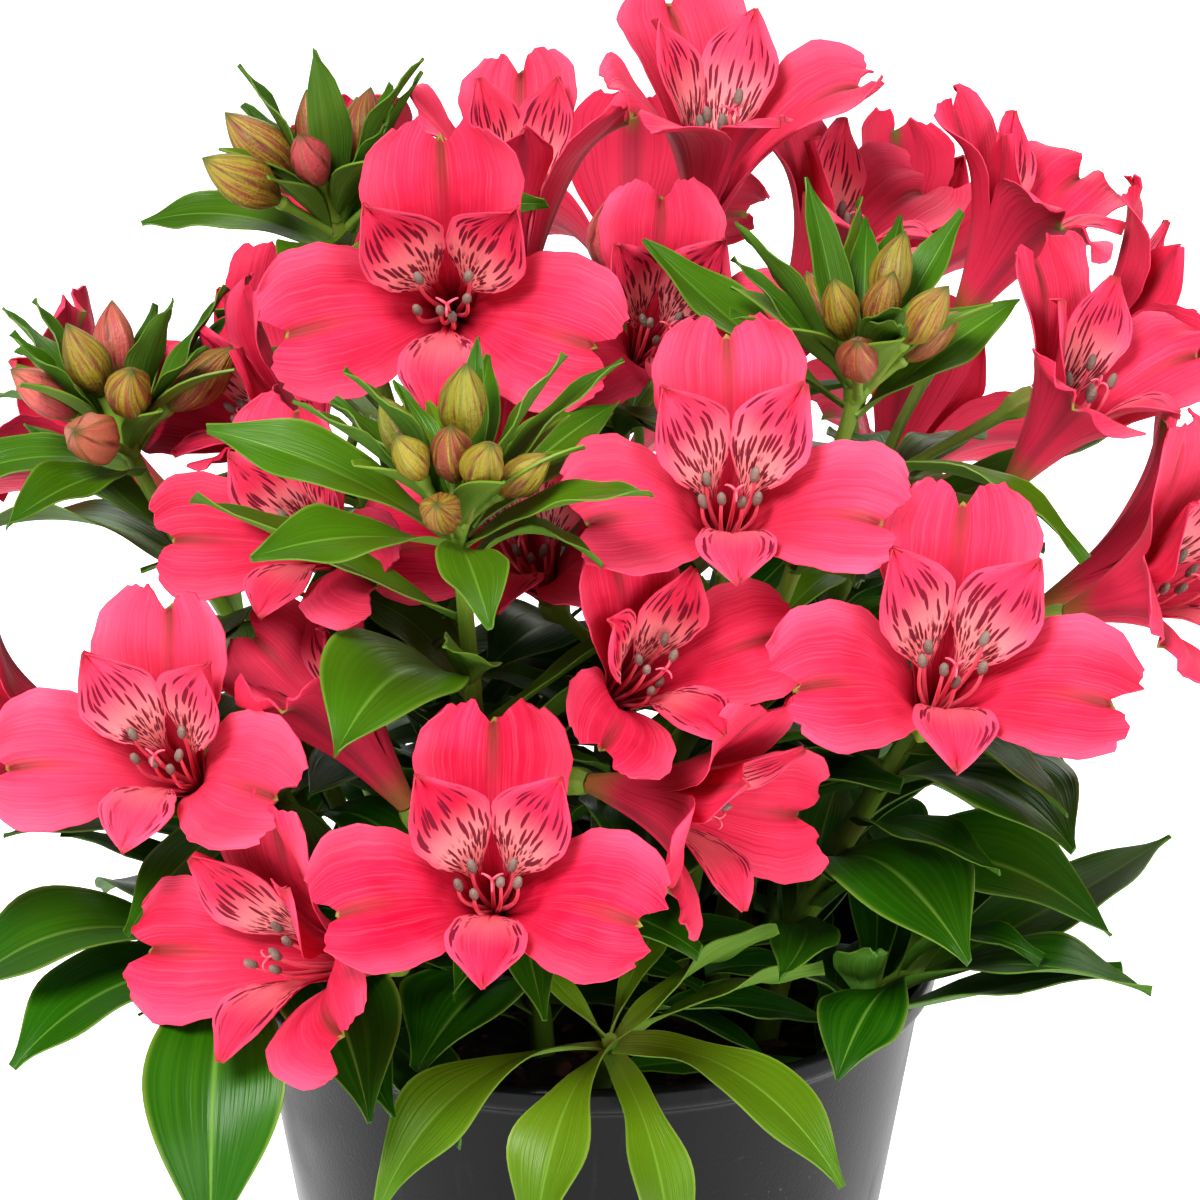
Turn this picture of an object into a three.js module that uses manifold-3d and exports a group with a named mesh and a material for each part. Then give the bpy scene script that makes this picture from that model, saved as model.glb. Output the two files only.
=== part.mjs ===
// A potted peruvian lily: a round dark plastic nursery pot, filled with peat, and its leafy shoots with
// umbels of pink blooms and tight heads of buds. Millimetres, z up, the middle of the pot's foot at the
// origin, the front of the plant towards -y.
import * as THREE from "three";
import { mergeVertices } from "three/addons/utils/BufferGeometryUtils.js";
import Module from "manifold-3d";

const wasm = await Module();
wasm.setup();

// Driving sizes
const POT_HEIGHT = 120;
const FOOT_RADIUS = 45;
const RIM_RADIUS = 66;
const POT_WALL = 1.5;
const SOIL_TOP = 108;
const GAP = 0.3;
const BLADE = 0.8;
const STEM_RADIUS = 2.5;
const PEDICEL_RADIUS = 1.1;
const THROAT = 18;

// Materials
function paint(color, roughness) {
  return new THREE.MeshStandardMaterial({ color, roughness, metalness: 0, flatShading: true });
}
const PLASTIC = paint(0x2f3034, 0.45);
const PEAT = paint(0x1d1511, 0.95);
const GREEN = paint(0x2f6b1c, 0.5);
const PINK = paint(0xe8416c, 0.55);
const BUD = paint(0x8a7a34, 0.6);

// Small helpers
const degrees = Math.PI / 180;

function point(x, y, z) {
  return new THREE.Vector3(x, y, z);
}

// A repeatable draw between 0 and 1 for a whole number.
function chance(n) {
  const s = Math.sin(n * 12.9898 + 4.1) * 43758.5453;
  return s - Math.floor(s);
}

function smooth(x) {
  const c = Math.min(1, Math.max(0, x));
  return c * c * (3 - 2 * c);
}

function bezier(p, t) {
  const s = 1 - t;
  return s * s * s * p[0] + 3 * s * s * t * p[1] + 3 * s * t * t * p[2] + t * t * t * p[3];
}

// A direction from its compass angle and its rise, in degrees.
function heading(azimuth, rise) {
  const a = azimuth * degrees;
  const e = rise * degrees;
  return point(Math.cos(a) * Math.cos(e), Math.sin(a) * Math.cos(e), Math.sin(e));
}

// A closed solid from a BufferGeometry: equal corners are merged and collapsed faces dropped.
function solidOf(geometry) {
  const bare = geometry.clone();
  bare.deleteAttribute("normal");
  bare.deleteAttribute("uv");
  const merged = mergeVertices(bare, 1e-4);
  const index = merged.index.array;
  const kept = [];
  for (let i = 0; i < index.length; i += 3) {
    const [a, b, c] = [index[i], index[i + 1], index[i + 2]];
    if (a !== b && b !== c && c !== a) kept.push(a, b, c);
  }
  const vertProperties = new Float32Array(merged.attributes.position.array);
  return new wasm.Manifold(new wasm.Mesh({ numProp: 3, vertProperties, triVerts: new Uint32Array(kept) }));
}

// The faces of a skin over rings of equal, even counts of corners; each ring is a list of corner numbers.
// The second half of a ring is split the other way, so that the two faces of a blade are split alike.
function skin(rings) {
  const n = rings[0].length;
  const faces = [];
  for (let i = 0; i < rings.length - 1; i++) {
    for (let j = 0; j < n; j++) {
      const k = (j + 1) % n;
      const [a, b, c, d] = [rings[i][j], rings[i][k], rings[i + 1][k], rings[i + 1][j]];
      faces.push(...(j < n / 2 ? [a, b, c, a, c, d] : [a, b, d, b, c, d]));
    }
  }
  return faces;
}

// A flat strip across the last ring of a skin; turned round, it closes the first one.
function lid(ring, turned) {
  const n = ring.length;
  const faces = [];
  for (let j = 0; j < n / 2 - 1; j++) {
    const [a, b, c, d] = [ring[j], ring[j + 1], ring[n - 2 - j], ring[n - 1 - j]];
    faces.push(...(turned ? [a, c, b, a, d, c] : [a, b, c, a, c, d]));
  }
  return faces;
}

function solidFrom(corners, faces) {
  const geometry = new THREE.BufferGeometry();
  const numbers = corners.flatMap((p) => [p.x, p.y, p.z]);
  geometry.setAttribute("position", new THREE.Float32BufferAttribute(numbers, 3));
  geometry.setIndex(faces);
  return solidOf(geometry);
}

function loft(rings) {
  const n = rings[0].length;
  const numbers = rings.map((_, i) => Array.from({ length: n }, (_, j) => i * n + j));
  return solidFrom(rings.flat(), [...skin(numbers), ...lid(numbers[0], true), ...lid(numbers.at(-1), false)]);
}

// One ring round a thin blade over surface(u, v): its upper side from left to right, then back below.
function bladeRing(surface, u, across, thickness) {
  const w = Math.min(0.96, Math.max(0.02, u));
  const upper = [];
  const lower = [];
  for (const v of across) {
    const within = 0.6 * v;
    const side = surface(w, within + 0.05).sub(surface(w, within - 0.05));
    const ahead = surface(w + 0.02, within).sub(surface(w - 0.02, within));
    const normal = side.cross(ahead).normalize().multiplyScalar(thickness / 2);
    const p = surface(u, v);
    upper.push(p.clone().add(normal));
    lower.unshift(p.clone().sub(normal));
  }
  return [...upper, ...lower];
}

// The narrow end of a blade: the ring before it, drawn in round the tip without a turn.
function tipRing(before, tip, half, thickness) {
  const upper = before.slice(0, before.length / 2);
  const lower = before.slice(before.length / 2);
  const middle = (list) => list.reduce((sum, p) => sum.add(p), point(0, 0, 0)).divideScalar(list.length);
  const ahead = tip.clone().sub(middle(before)).normalize();
  const across = (way) => way.addScaledVector(ahead, -way.dot(ahead));
  const normal = across(middle(upper).sub(middle(lower))).setLength(thickness / 2);
  const side = across(upper.at(-1).clone().sub(upper[0])).setLength(half);
  const row = upper.map((_, k) => tip.clone().addScaledVector(side, (2 * k) / (upper.length - 1) - 1));
  return [...row.map((p) => p.clone().add(normal)), ...row.reverse().map((p) => p.clone().sub(normal))];
}

// Rings of corners round a line, each with its own radius; hint is a direction they all start from.
function ringsRound(points, radii, sides, hint) {
  let start = hint.clone();
  return points.map((p, i) => {
    const before = points[Math.max(0, i - 1)];
    const after = points[Math.min(points.length - 1, i + 1)];
    const ahead = after.clone().sub(before).normalize();
    start = start.clone().addScaledVector(ahead, -start.dot(ahead)).normalize();
    const beside = ahead.clone().cross(start);
    return Array.from({ length: sides }, (_, k) => {
      const angle = (2 * Math.PI * (k - 0.5)) / sides;
      return p
        .clone()
        .addScaledVector(start, radii[i] * Math.cos(angle))
        .addScaledVector(beside, radii[i] * Math.sin(angle));
    });
  });
}

// A stalk whose branches grow out of its side faces, all in one closed surface.
class Stalk {
  constructor(rings) {
    this.sides = rings[0].length;
    this.corners = rings.flat();
    this.levels = rings.length - 1;
    this.taken = new Set();
    this.faces = [];
    this.grown = [this.solid()];
  }

  quad(level, side) {
    const next = (side + 1) % this.sides;
    const low = level * this.sides;
    const high = low + this.sides;
    return [low + side, low + next, high + next, high + side];
  }

  // The free side face of a level that looks most nearly the given way, now taken for a branch.
  facet(level, way) {
    let best = -1;
    let most = -Infinity;
    for (let side = 0; side < this.sides; side++) {
      const [a, b, , d] = this.quad(level, side).map((i) => this.corners[i]);
      const out = b.clone().sub(a).cross(d.clone().sub(a)).normalize().dot(way);
      if (out > most && !this.taken.has(level * this.sides + side)) [best, most] = [side, out];
    }
    this.taken.add(level * this.sides + best);
    const numbers = this.quad(level, best);
    const around = numbers.map((i) => this.corners[i]);
    const middle = around.reduce((sum, p) => sum.add(p), point(0, 0, 0)).divideScalar(4);
    const axis = around[3].clone().sub(around[0]).normalize();
    const out = around[1].clone().sub(around[0]).cross(axis).normalize();
    return { numbers, middle, key: level * this.sides + best, axis, out };
  }

  release(facet) {
    this.taken.delete(facet.key);
  }

  // The branch of four- or six-cornered rings that would grow from a face, closed across its root.
  // Rings start at the face's upper right corner.
  branch(facet, rings) {
    const [a, b, c, d] = facet.numbers.map((i) => this.corners[i]);
    return loft([rings[0].length === 4 ? [c, d, a, b] : [c, c, d, a, b, b], ...rings]);
  }

  grow(facet, rings) {
    const [a, b, c, d] = facet.numbers;
    const root = rings[0].length === 4 ? [c, d, a, b] : [c, c, d, a, b, b];
    const numbers = rings.map((ring) => ring.map((p) => this.corners.push(p) - 1));
    this.grown.push(this.branch(facet, rings));
    this.faces.push(...skin([root, ...numbers]), ...lid(numbers.at(-1), false));
  }

  solid() {
    const faces = [...this.faces];
    for (let level = 0; level < this.levels; level++) {
      for (let side = 0; side < this.sides; side++) {
        if (this.taken.has(level * this.sides + side)) continue;
        const [a, b, c, d] = this.quad(level, side);
        faces.push(a, b, c, a, c, d);
      }
    }
    const end = (level) => Array.from({ length: this.sides }, (_, k) => level * this.sides + k);
    faces.push(...lid(end(0), true), ...lid(end(this.levels), false));
    return solidFrom(this.corners, faces);
  }
}

// The largest body of a solid, so that a scrap cut loose is dropped.
function largest(solid) {
  return solid.decompose().reduce((best, one) => (one.volume() > best.volume() ? one : best));
}

function near(a, b) {
  const p = a.boundingBox();
  const q = b.boundingBox();
  return [0, 1, 2].every((i) => p.min[i] < q.max[i] && q.min[i] < p.max[i]);
}

// Pot: a thin tapered cup with a small turned-out rim and drain holes in its floor
const WALL_SLOPE = (RIM_RADIUS - 2.6 - FOOT_RADIUS) / (POT_HEIGHT - 6);

function wallRadius(z) {
  return FOOT_RADIUS + WALL_SLOPE * z;
}

function potSolid() {
  const neck = POT_HEIGHT - 6;
  const profile = [
    [0, 0],
    [FOOT_RADIUS - 1, 0],
    [wallRadius(1.5), 1.5],
    [wallRadius(neck), neck],
    [RIM_RADIUS, POT_HEIGHT - 4],
    [RIM_RADIUS, POT_HEIGHT - 0.5],
    [RIM_RADIUS - 1.5, POT_HEIGHT],
    [wallRadius(neck) - POT_WALL, neck - 1],
    [wallRadius(POT_WALL) - POT_WALL, POT_WALL],
    [0, POT_WALL],
  ];
  const cup = new THREE.LatheGeometry(
    profile.map(([r, z]) => new THREE.Vector2(r, z)),
    36,
  );
  cup.rotateX(Math.PI / 2);
  let solid = solidOf(cup);
  for (let k = 0; k < 6; k++) {
    const a = ((k + 0.5) * Math.PI) / 3;
    const hole = new THREE.CylinderGeometry(4, 4, 6, 6);
    hole.rotateX(Math.PI / 2);
    hole.translate(30 * Math.cos(a), 30 * Math.sin(a), 0);
    solid = solid.subtract(solidOf(hole));
  }
  return solid;
}

// Peat: a solid fill with a lumpy top, a little clear of the pot all round
function lump(x, y) {
  return 1.5 * Math.sin(x * 0.17 + 2) * Math.cos(y * 0.21) + Math.sin(y * 0.13 - x * 0.08);
}

function peatSolid() {
  const sides = 22;
  const rings = [1, 24, 44].map((r) => (a) => {
    const [x, y] = [r * Math.cos(a), r * Math.sin(a)];
    return point(x, y, SOIL_TOP + lump(x, y));
  });
  for (const z of [SOIL_TOP - 3, POT_WALL + GAP]) {
    const r = wallRadius(z) - POT_WALL - GAP - 0.5;
    rings.push((a) => point(r * Math.cos(a), r * Math.sin(a), z));
  }
  return loft(rings.map((ring) => Array.from({ length: sides }, (_, k) => ring((-2 * Math.PI * k) / sides))));
}

// One tepal in its bloom's own frame: the funnel's axis is z, the upper tepal stands towards +y.
// The middle line is a curve of radius and height; the blade is rolled round the funnel low down.
function tepalPoint(t, u, v) {
  const back = t.notch * u ** 6 * Math.max(0, 1 - 2.4 * Math.abs(v)) + t.round * u ** 6 * v * v;
  const w = u - back;
  const r = bezier(t.radius, w);
  const z = bezier(t.height, w);
  const dr = bezier(t.radius, w + 0.01) - r;
  const dz = bezier(t.height, w + 0.01) - z;
  const l = Math.hypot(dr, dz);
  const [inR, inZ] = [-dz / l, dr / l];
  const s = t.width(u) * v;
  const roll = r + 26 * u ** 3;
  let across = roll * Math.sin(s / roll);
  let off = roll * (1 - Math.cos(s / roll));
  off += t.wave * u ** 3 * Math.abs(v) * Math.sin(7 * u + 2.5 * v + t.phase);
  const turn = t.twist * u * u;
  [across, off] = [
    across * Math.cos(turn) - off * Math.sin(turn),
    across * Math.sin(turn) + off * Math.cos(turn),
  ];
  const a = t.azimuth * degrees;
  const out = r + inR * off;
  return point(
    out * Math.cos(a) + across * Math.sin(a),
    out * Math.sin(a) - across * Math.cos(a),
    z + inZ * off,
  );
}

function outerWidth(wide) {
  return (u) => {
    const tip = Math.sqrt(1 - 0.6 * Math.max(0, (u - 0.8) / 0.2) ** 2);
    return (wide / 2) * (0.14 + 0.86 * smooth((u - 0.14) / 0.62)) * tip;
  };
}

function innerWidth(wide) {
  return (u) => {
    const tip = 1 - 0.93 * Math.max(0, (u - 0.66) / 0.34) ** 1.7;
    return (wide / 2) * (0.16 + 0.84 * smooth((u - 0.28) / 0.42)) * tip;
  };
}

// The six tepals of a bloom, from how far it is open (0 a trumpet, 1 flat).
function tepals(bloom) {
  const mix = (shut, flat) => shut.map((s, i) => s + (flat[i] - s) * bloom.open);
  const draw = (k) => chance(bloom.seed * 17 + k) - 0.5;
  const outer = (azimuth, radius, height, k) => ({
    azimuth: azimuth + 6 * draw(k),
    radius: mix([1.5, 5, 9, 15 + 3 * draw(k + 1)], radius),
    height: mix([0, 19, 32, 42], height),
    width: outerWidth(19 + 8 * bloom.open),
    notch: 0.07,
    round: 0.03,
    wave: 2.2,
    phase: 6.3 * draw(k + 2),
    twist: 0.45 * (1 - bloom.open) + 0.2 * bloom.open * draw(k + 3),
    pointed: false,
  });
  const inner = (azimuth, radius, height, wide, lean, k) => ({
    azimuth: azimuth + 4 * draw(k),
    radius: mix([1.2, 3, 4, 6], radius),
    height: mix([1, 17, 28, 39], height),
    width: innerWidth(wide * (0.65 + 0.35 * bloom.open)),
    notch: 0,
    round: 0,
    wave: 1.2,
    phase: 6.3 * draw(k + 2),
    twist: lean + 0.1 * draw(k + 3),
    pointed: true,
  });
  return [
    outer(90, [1.5, 6, 12, 27], [0, 20, 30, 37], 1),
    outer(198, [1.5, 6, 14, 30], [0, 18, 31, 31], 2),
    outer(342, [1.5, 6, 14, 30], [0, 18, 31, 31], 3),
    inner(44, [1.2, 4.4, 6.6, 15.5], [1, 18, 28, 38], 12.8, -0.25, 4),
    inner(136, [1.2, 4.4, 6.6, 15.5], [1, 18, 28, 38], 12.8, 0.25, 5),
    inner(270, [1.2, 4.6, 8, 20], [1, 19, 31, 31], 12.5, 0, 6),
  ];
}

// A bloom's frame: its mouth along face, its upper tepal as near upright as it can stand.
function bloomFrame(bloom) {
  const mouth = heading(bloom.face[0], bloom.face[1]);
  const up = point(0, 0, 1).addScaledVector(mouth, -mouth.z).normalize();
  up.applyAxisAngle(mouth, (bloom.face[2] || 0) * degrees);
  const right = up.clone().cross(mouth);
  const base = point(...bloom.at).addScaledVector(mouth, -THROAT * bloom.size);
  return new THREE.Matrix4().makeBasis(right, up, mouth).setPosition(base);
}

// The claws low down are one funnel with a corner of its rim under the middle of each tepal. The inner
// three blades grow from the inner half of the rim and the outer three from the outer half, each from
// its own corner and the two beside it. A bloom still half shut shows its three outer tepals only.
const RIM_SHARE = 0.34;

function bloomSolid(bloom, extra) {
  const frame = bloomFrame(bloom);
  const all = tepals(bloom);
  const parts = [3, 0, 4, 1, 5, 2].map((i) => all[i]);
  const rimHeight = bezier(all[0].height, RIM_SHARE);
  const rimRadius = bezier(all[1].radius, RIM_SHARE) - 0.8;
  const corners = [];
  const add = (p) => corners.push(p) - 1;
  const ring = (radius, height) =>
    parts.map((t) => {
      const a = t.azimuth * degrees;
      return add(point(radius * Math.cos(a), radius * Math.sin(a), height));
    });
  const base = ring(2.2 + extra, 0);
  const outside = ring(rimRadius + 0.6 + extra, rimHeight);
  const inside = ring(rimRadius - 0.6 - extra, rimHeight + extra);
  const middle = bloom.open > 0.5 ? ring(rimRadius, rimHeight) : inside;
  const foot = add(point(0, 0, 0));
  const pit = add(point(0, 0, rimHeight - 9));
  const faces = skin([base, outside]);
  for (let j = 0; j < 6; j++) {
    const k = (j + 1) % 6;
    faces.push(base[k], base[j], foot, inside[j], inside[k], pit);
  }
  parts.forEach((t, i) => {
    const [upper, lower] = t.pointed ? [inside, middle] : [middle, outside];
    if (upper === lower) return;
    const [left, right] = [(i + 1) % 6, (i + 5) % 6];
    const rings = [[upper[left], upper[i], upper[right], lower[right], lower[i], lower[left]]];
    const wide = { ...t, width: (u) => t.width(u) + extra };
    const surface = (a, b) => tepalPoint(wide, a, b);
    const thickness = BLADE + 2 * extra;
    const blade = (t.pointed ? [0.68] : [0.56, 0.8, 1]).map((u) => bladeRing(surface, u, [-1, 0, 1], thickness));
    if (t.pointed) blade.push(tipRing(blade[0], surface(1, 0), 0.45 + extra, thickness));
    rings.push(...blade.map((around) => around.map(add)));
    faces.push(...skin(rings), ...lid(rings.at(-1), false));
  });
  return solidFrom(corners.map((p) => p.multiplyScalar(bloom.size).applyMatrix4(frame)), faces);
}

// A leaf's surface: an arched middle line from its root, a tapering foot, a keel and a slow turn.
function leafPoint(leaf, u, v) {
  const half = leaf.length / 2;
  const elbow = leaf.root.clone().addScaledVector(heading(leaf.azimuth, leaf.rise), half);
  const tip = elbow.clone().addScaledVector(heading(leaf.azimuth + leaf.swing, leaf.droop), half);
  const centre = leaf.root
    .clone()
    .multiplyScalar((1 - u) ** 2)
    .addScaledVector(elbow, 2 * u * (1 - u))
    .addScaledVector(tip, u * u);
  const ahead = elbow.clone().sub(leaf.root).multiplyScalar(1 - u).addScaledVector(tip.clone().sub(elbow), u);
  ahead.normalize();
  const flat = heading(leaf.azimuth + leaf.swing * u - 90, 0);
  const up = flat.clone().cross(ahead).normalize();
  const side = ahead.clone().cross(up);
  const turn = leaf.twist * degrees * u;
  const wide = (leaf.width / 2) * (0.16 * (1 - u) + 0.95 * Math.sin(Math.PI * u ** 1.2) ** 1.3) + 0.35;
  const s = wide * v;
  const rise = leaf.keel * Math.abs(s) + leaf.wave * v * Math.sin(6 * u + leaf.phase);
  return centre
    .addScaledVector(side, s * Math.cos(turn) - rise * Math.sin(turn))
    .addScaledVector(up, s * Math.sin(turn) + rise * Math.cos(turn));
}

function leafRings(leaf, stations, extra) {
  const across = leaf.length > 48 ? [-1, 0, 1] : [-1, 1];
  const wide = { ...leaf, width: leaf.width + 2 * extra };
  const surface = (a, b) => leafPoint(wide, a, b);
  const thickness = BLADE + 2 * extra;
  const rings = stations.filter((u) => u < 1).map((u) => bladeRing(surface, u, across, thickness));
  if (stations.at(-1) === 1) rings.push(tipRing(rings.at(-1), surface(1, 0), 0.35 + extra, thickness));
  return rings;
}

// Stems: a line from the foot, with a short level for each leaf, one for a whorl of leaves under the
// head and one at the very top for the pedicels
function stemLine(shoot) {
  const [x, y] = shoot.foot;
  const [hx, hy, hz] = shoot.head;
  const rise = hz - SOIL_TOP;
  const [dx, dy] = [hx - x, hy - y];
  return new THREE.CubicBezierCurve3(
    point(x, y, SOIL_TOP - 18),
    point(x, y, SOIL_TOP + 0.35 * rise),
    point(hx - 0.35 * dx, hy - 0.35 * dy, hz - 0.35 * rise),
    point(hx, hy, hz),
  );
}

function stemRadius(shoot, t) {
  return (shoot.thick || STEM_RADIUS) * (1 - 0.3 * t);
}

// The stations of a stem: two for each level, so that a level is a band about 2.4 mm high.
function stemStations(shoot) {
  const length = stemLine(shoot).getLength();
  const half = 1.2 / length;
  const { count, from } = shoot.leaves;
  const to = Math.min(shoot.leaves.to, 1 - 6 * half);
  const levels = Array.from({ length: count }, (_, k) => from + ((to - from) * k) / Math.max(1, count - 1));
  const bands = levels.flatMap((t) => [t - half, t + half]);
  const foot = 22 / length;
  return { foot, all: [0, foot, ...bands, 1 - 4 * half, 1 - 2 * half, 1] };
}

function stemRings(shoot, stations, extra) {
  const line = stemLine(shoot);
  const radii = stations.map((t) => stemRadius(shoot, t) + extra);
  return ringsRound(stations.map((t) => line.getPoint(t)), radii, 6, point(0, -1, 0));
}

// A pedicel's rings from its face on the stem, outwards and up, to the ribbed ovary under the bloom.
function pedicelRings(facet, bloom, extra) {
  const mouth = heading(bloom.face[0], bloom.face[1]);
  const base = point(...bloom.at).addScaledVector(mouth, -THROAT * bloom.size - GAP);
  const reach = base.distanceTo(facet.middle);
  const line = new THREE.CubicBezierCurve3(
    facet.middle,
    facet.middle.clone().addScaledVector(facet.out, 0.2 * reach).addScaledVector(facet.axis, 0.2 * reach),
    base.clone().addScaledVector(mouth, -0.4 * reach),
    base,
  );
  const ovary = Math.min(0.5, 8 / line.getLength());
  const steps = [0, 3 / line.getLength(), 0.55 * (1 - ovary), 1 - ovary, 1 - ovary * 0.45, 1];
  const radii = [1, PEDICEL_RADIUS, PEDICEL_RADIUS, 1.4, 2.9, 2.3].map((r) => r + extra);
  return ringsRound(steps.map((t) => line.getPointAt(t)), radii, 4, facet.axis).slice(1);
}

// A single bud on its own pedicel
function budSolid(bud, extra) {
  const mouth = heading(bud.face[0], bud.face[1]);
  const base = point(...bud.at).addScaledVector(mouth, -THROAT * bud.size);
  const points = [0, 0.4, 0.75, 1].map((t) => base.clone().addScaledVector(mouth, t * bud.length));
  const radii = [0.45, 1, 0.7, 0.06].map((share) => share * bud.radius + extra);
  return loft(ringsRound(points, radii, 6, point(0.3, 0.2, 0.9)));
}

// A young umbel: a short crown with buds on stalks growing from its sides, and one from its top
function budHeadSolid(shoot, extra) {
  const line = stemLine(shoot);
  const axis = line.getTangent(1);
  const crown = line.getPoint(1).addScaledVector(axis, GAP);
  const { count, length, radius, spread, draw } = shoot.youngHead;
  const tall = [0, 0.8, 3.2, 5.6, 13, 13 + 0.4 * length, 13 + 0.75 * length, 13 + length];
  const wide = [1.8, 2.4, 2.6, 2, 1.1, radius, 0.75 * radius, 0.3].map((r) => r + extra);
  const up = tall.map((d) => crown.clone().addScaledVector(axis, d));
  const body = new Stalk(ringsRound(up, wide, 6, point(0, -1, 0)));
  for (let k = 0; k < count; k++) {
    const upper = k % 2;
    const facing = heading((360 * k) / count + 25 * chance(draw * 7 + k), 0);
    const facet = body.facet(1 + upper, facing);
    const lean = (spread - 22 * upper) * (0.85 + 0.3 * chance(draw * 31 + k)) * degrees;
    const way = axis.clone().multiplyScalar(Math.cos(lean)).addScaledVector(facing, Math.sin(lean));
    way.normalize();
    const size = 0.85 + 0.3 * chance(draw * 13 + k);
    const stem = 7 + 5 * chance(draw * 3 + k);
    const at = [2.5, stem, stem + 0.4 * length * size, stem + 0.78 * length * size, stem + length * size];
    const radii = [0.9, 1, radius * size, 0.75 * radius * size, 0.2];
    const points = at.map((d) => facet.middle.clone().addScaledVector(way, d));
    body.grow(facet, ringsRound(points, radii.map((r) => r + extra), 6, facet.axis));
  }
  return body.solid();
}

// The leaves of a shoot: one at each level up the stem, on its outer side, and a whorl under its head
function leavesOf(shoot) {
  const [dx, dy] = [shoot.head[0] - shoot.foot[0], shoot.head[1] - shoot.foot[1]];
  const out = Math.atan2(dy, dx) / degrees;
  const draw = (k) => chance(shoot.seed * 29 + k);
  const { count, length } = shoot.leaves;
  const leaves = [];
  for (let k = 0; k < count; k++) {
    leaves.push({
      level: 2 * k + 2,
      azimuth: out + 110 * (2 * ((k * 0.618 + draw(0)) % 1) - 1),
      rise: 48 - 20 * draw(k + 1),
      droop: -5 - 45 * draw(k + 2),
      swing: 40 * (draw(k + 3) - 0.5),
      length: length * (0.85 + 0.3 * draw(k + 4)),
      width: length * (0.29 + 0.07 * draw(k + 5)),
      twist: 50 * (draw(k + 6) - 0.5),
      keel: 0.25,
      wave: 1.2,
      phase: 6 * draw(k + 7),
    });
  }
  const whorl = shoot.whorl;
  for (let k = 0; k < whorl.count; k++) {
    const azimuth = 60 * Math.round((6 * k) / whorl.count) - 90 + 30 * (draw(50 + k) - 0.5);
    const facing = (whorl.tilt || 0) * Math.cos(azimuth * degrees);
    leaves.push({
      level: 2 * count + 2,
      azimuth,
      rise: whorl.rise + 16 * (draw(60 + k) - 0.5),
      droop: whorl.droop + 24 * (draw(70 + k) - 0.5),
      swing: 30 * (draw(80 + k) - 0.5),
      length: whorl.length * (0.8 + 0.4 * draw(90 + k)),
      width: whorl.length * (0.25 + 0.05 * draw(100 + k)) * (whorl.tilt ? 1.15 : 1),
      twist: 40 * (draw(110 + k) - 0.5) - facing,
      keel: 0.3,
      wave: 0.8,
      phase: 6 * draw(120 + k),
    });
  }
  (shoot.ownLeaves || []).forEach(([azimuth, rise, droop, long, wide, twist], k) => {
    leaves.push({
      level: 2 * count + 2 + (shoot.blooms ? 0 : k % 2),
      azimuth,
      rise,
      droop,
      swing: 0,
      length: long,
      width: wide,
      twist,
      keel: 0.2,
      wave: 1.5,
      phase: 6 * draw(130 + k),
    });
  });
  return leaves;
}

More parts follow.
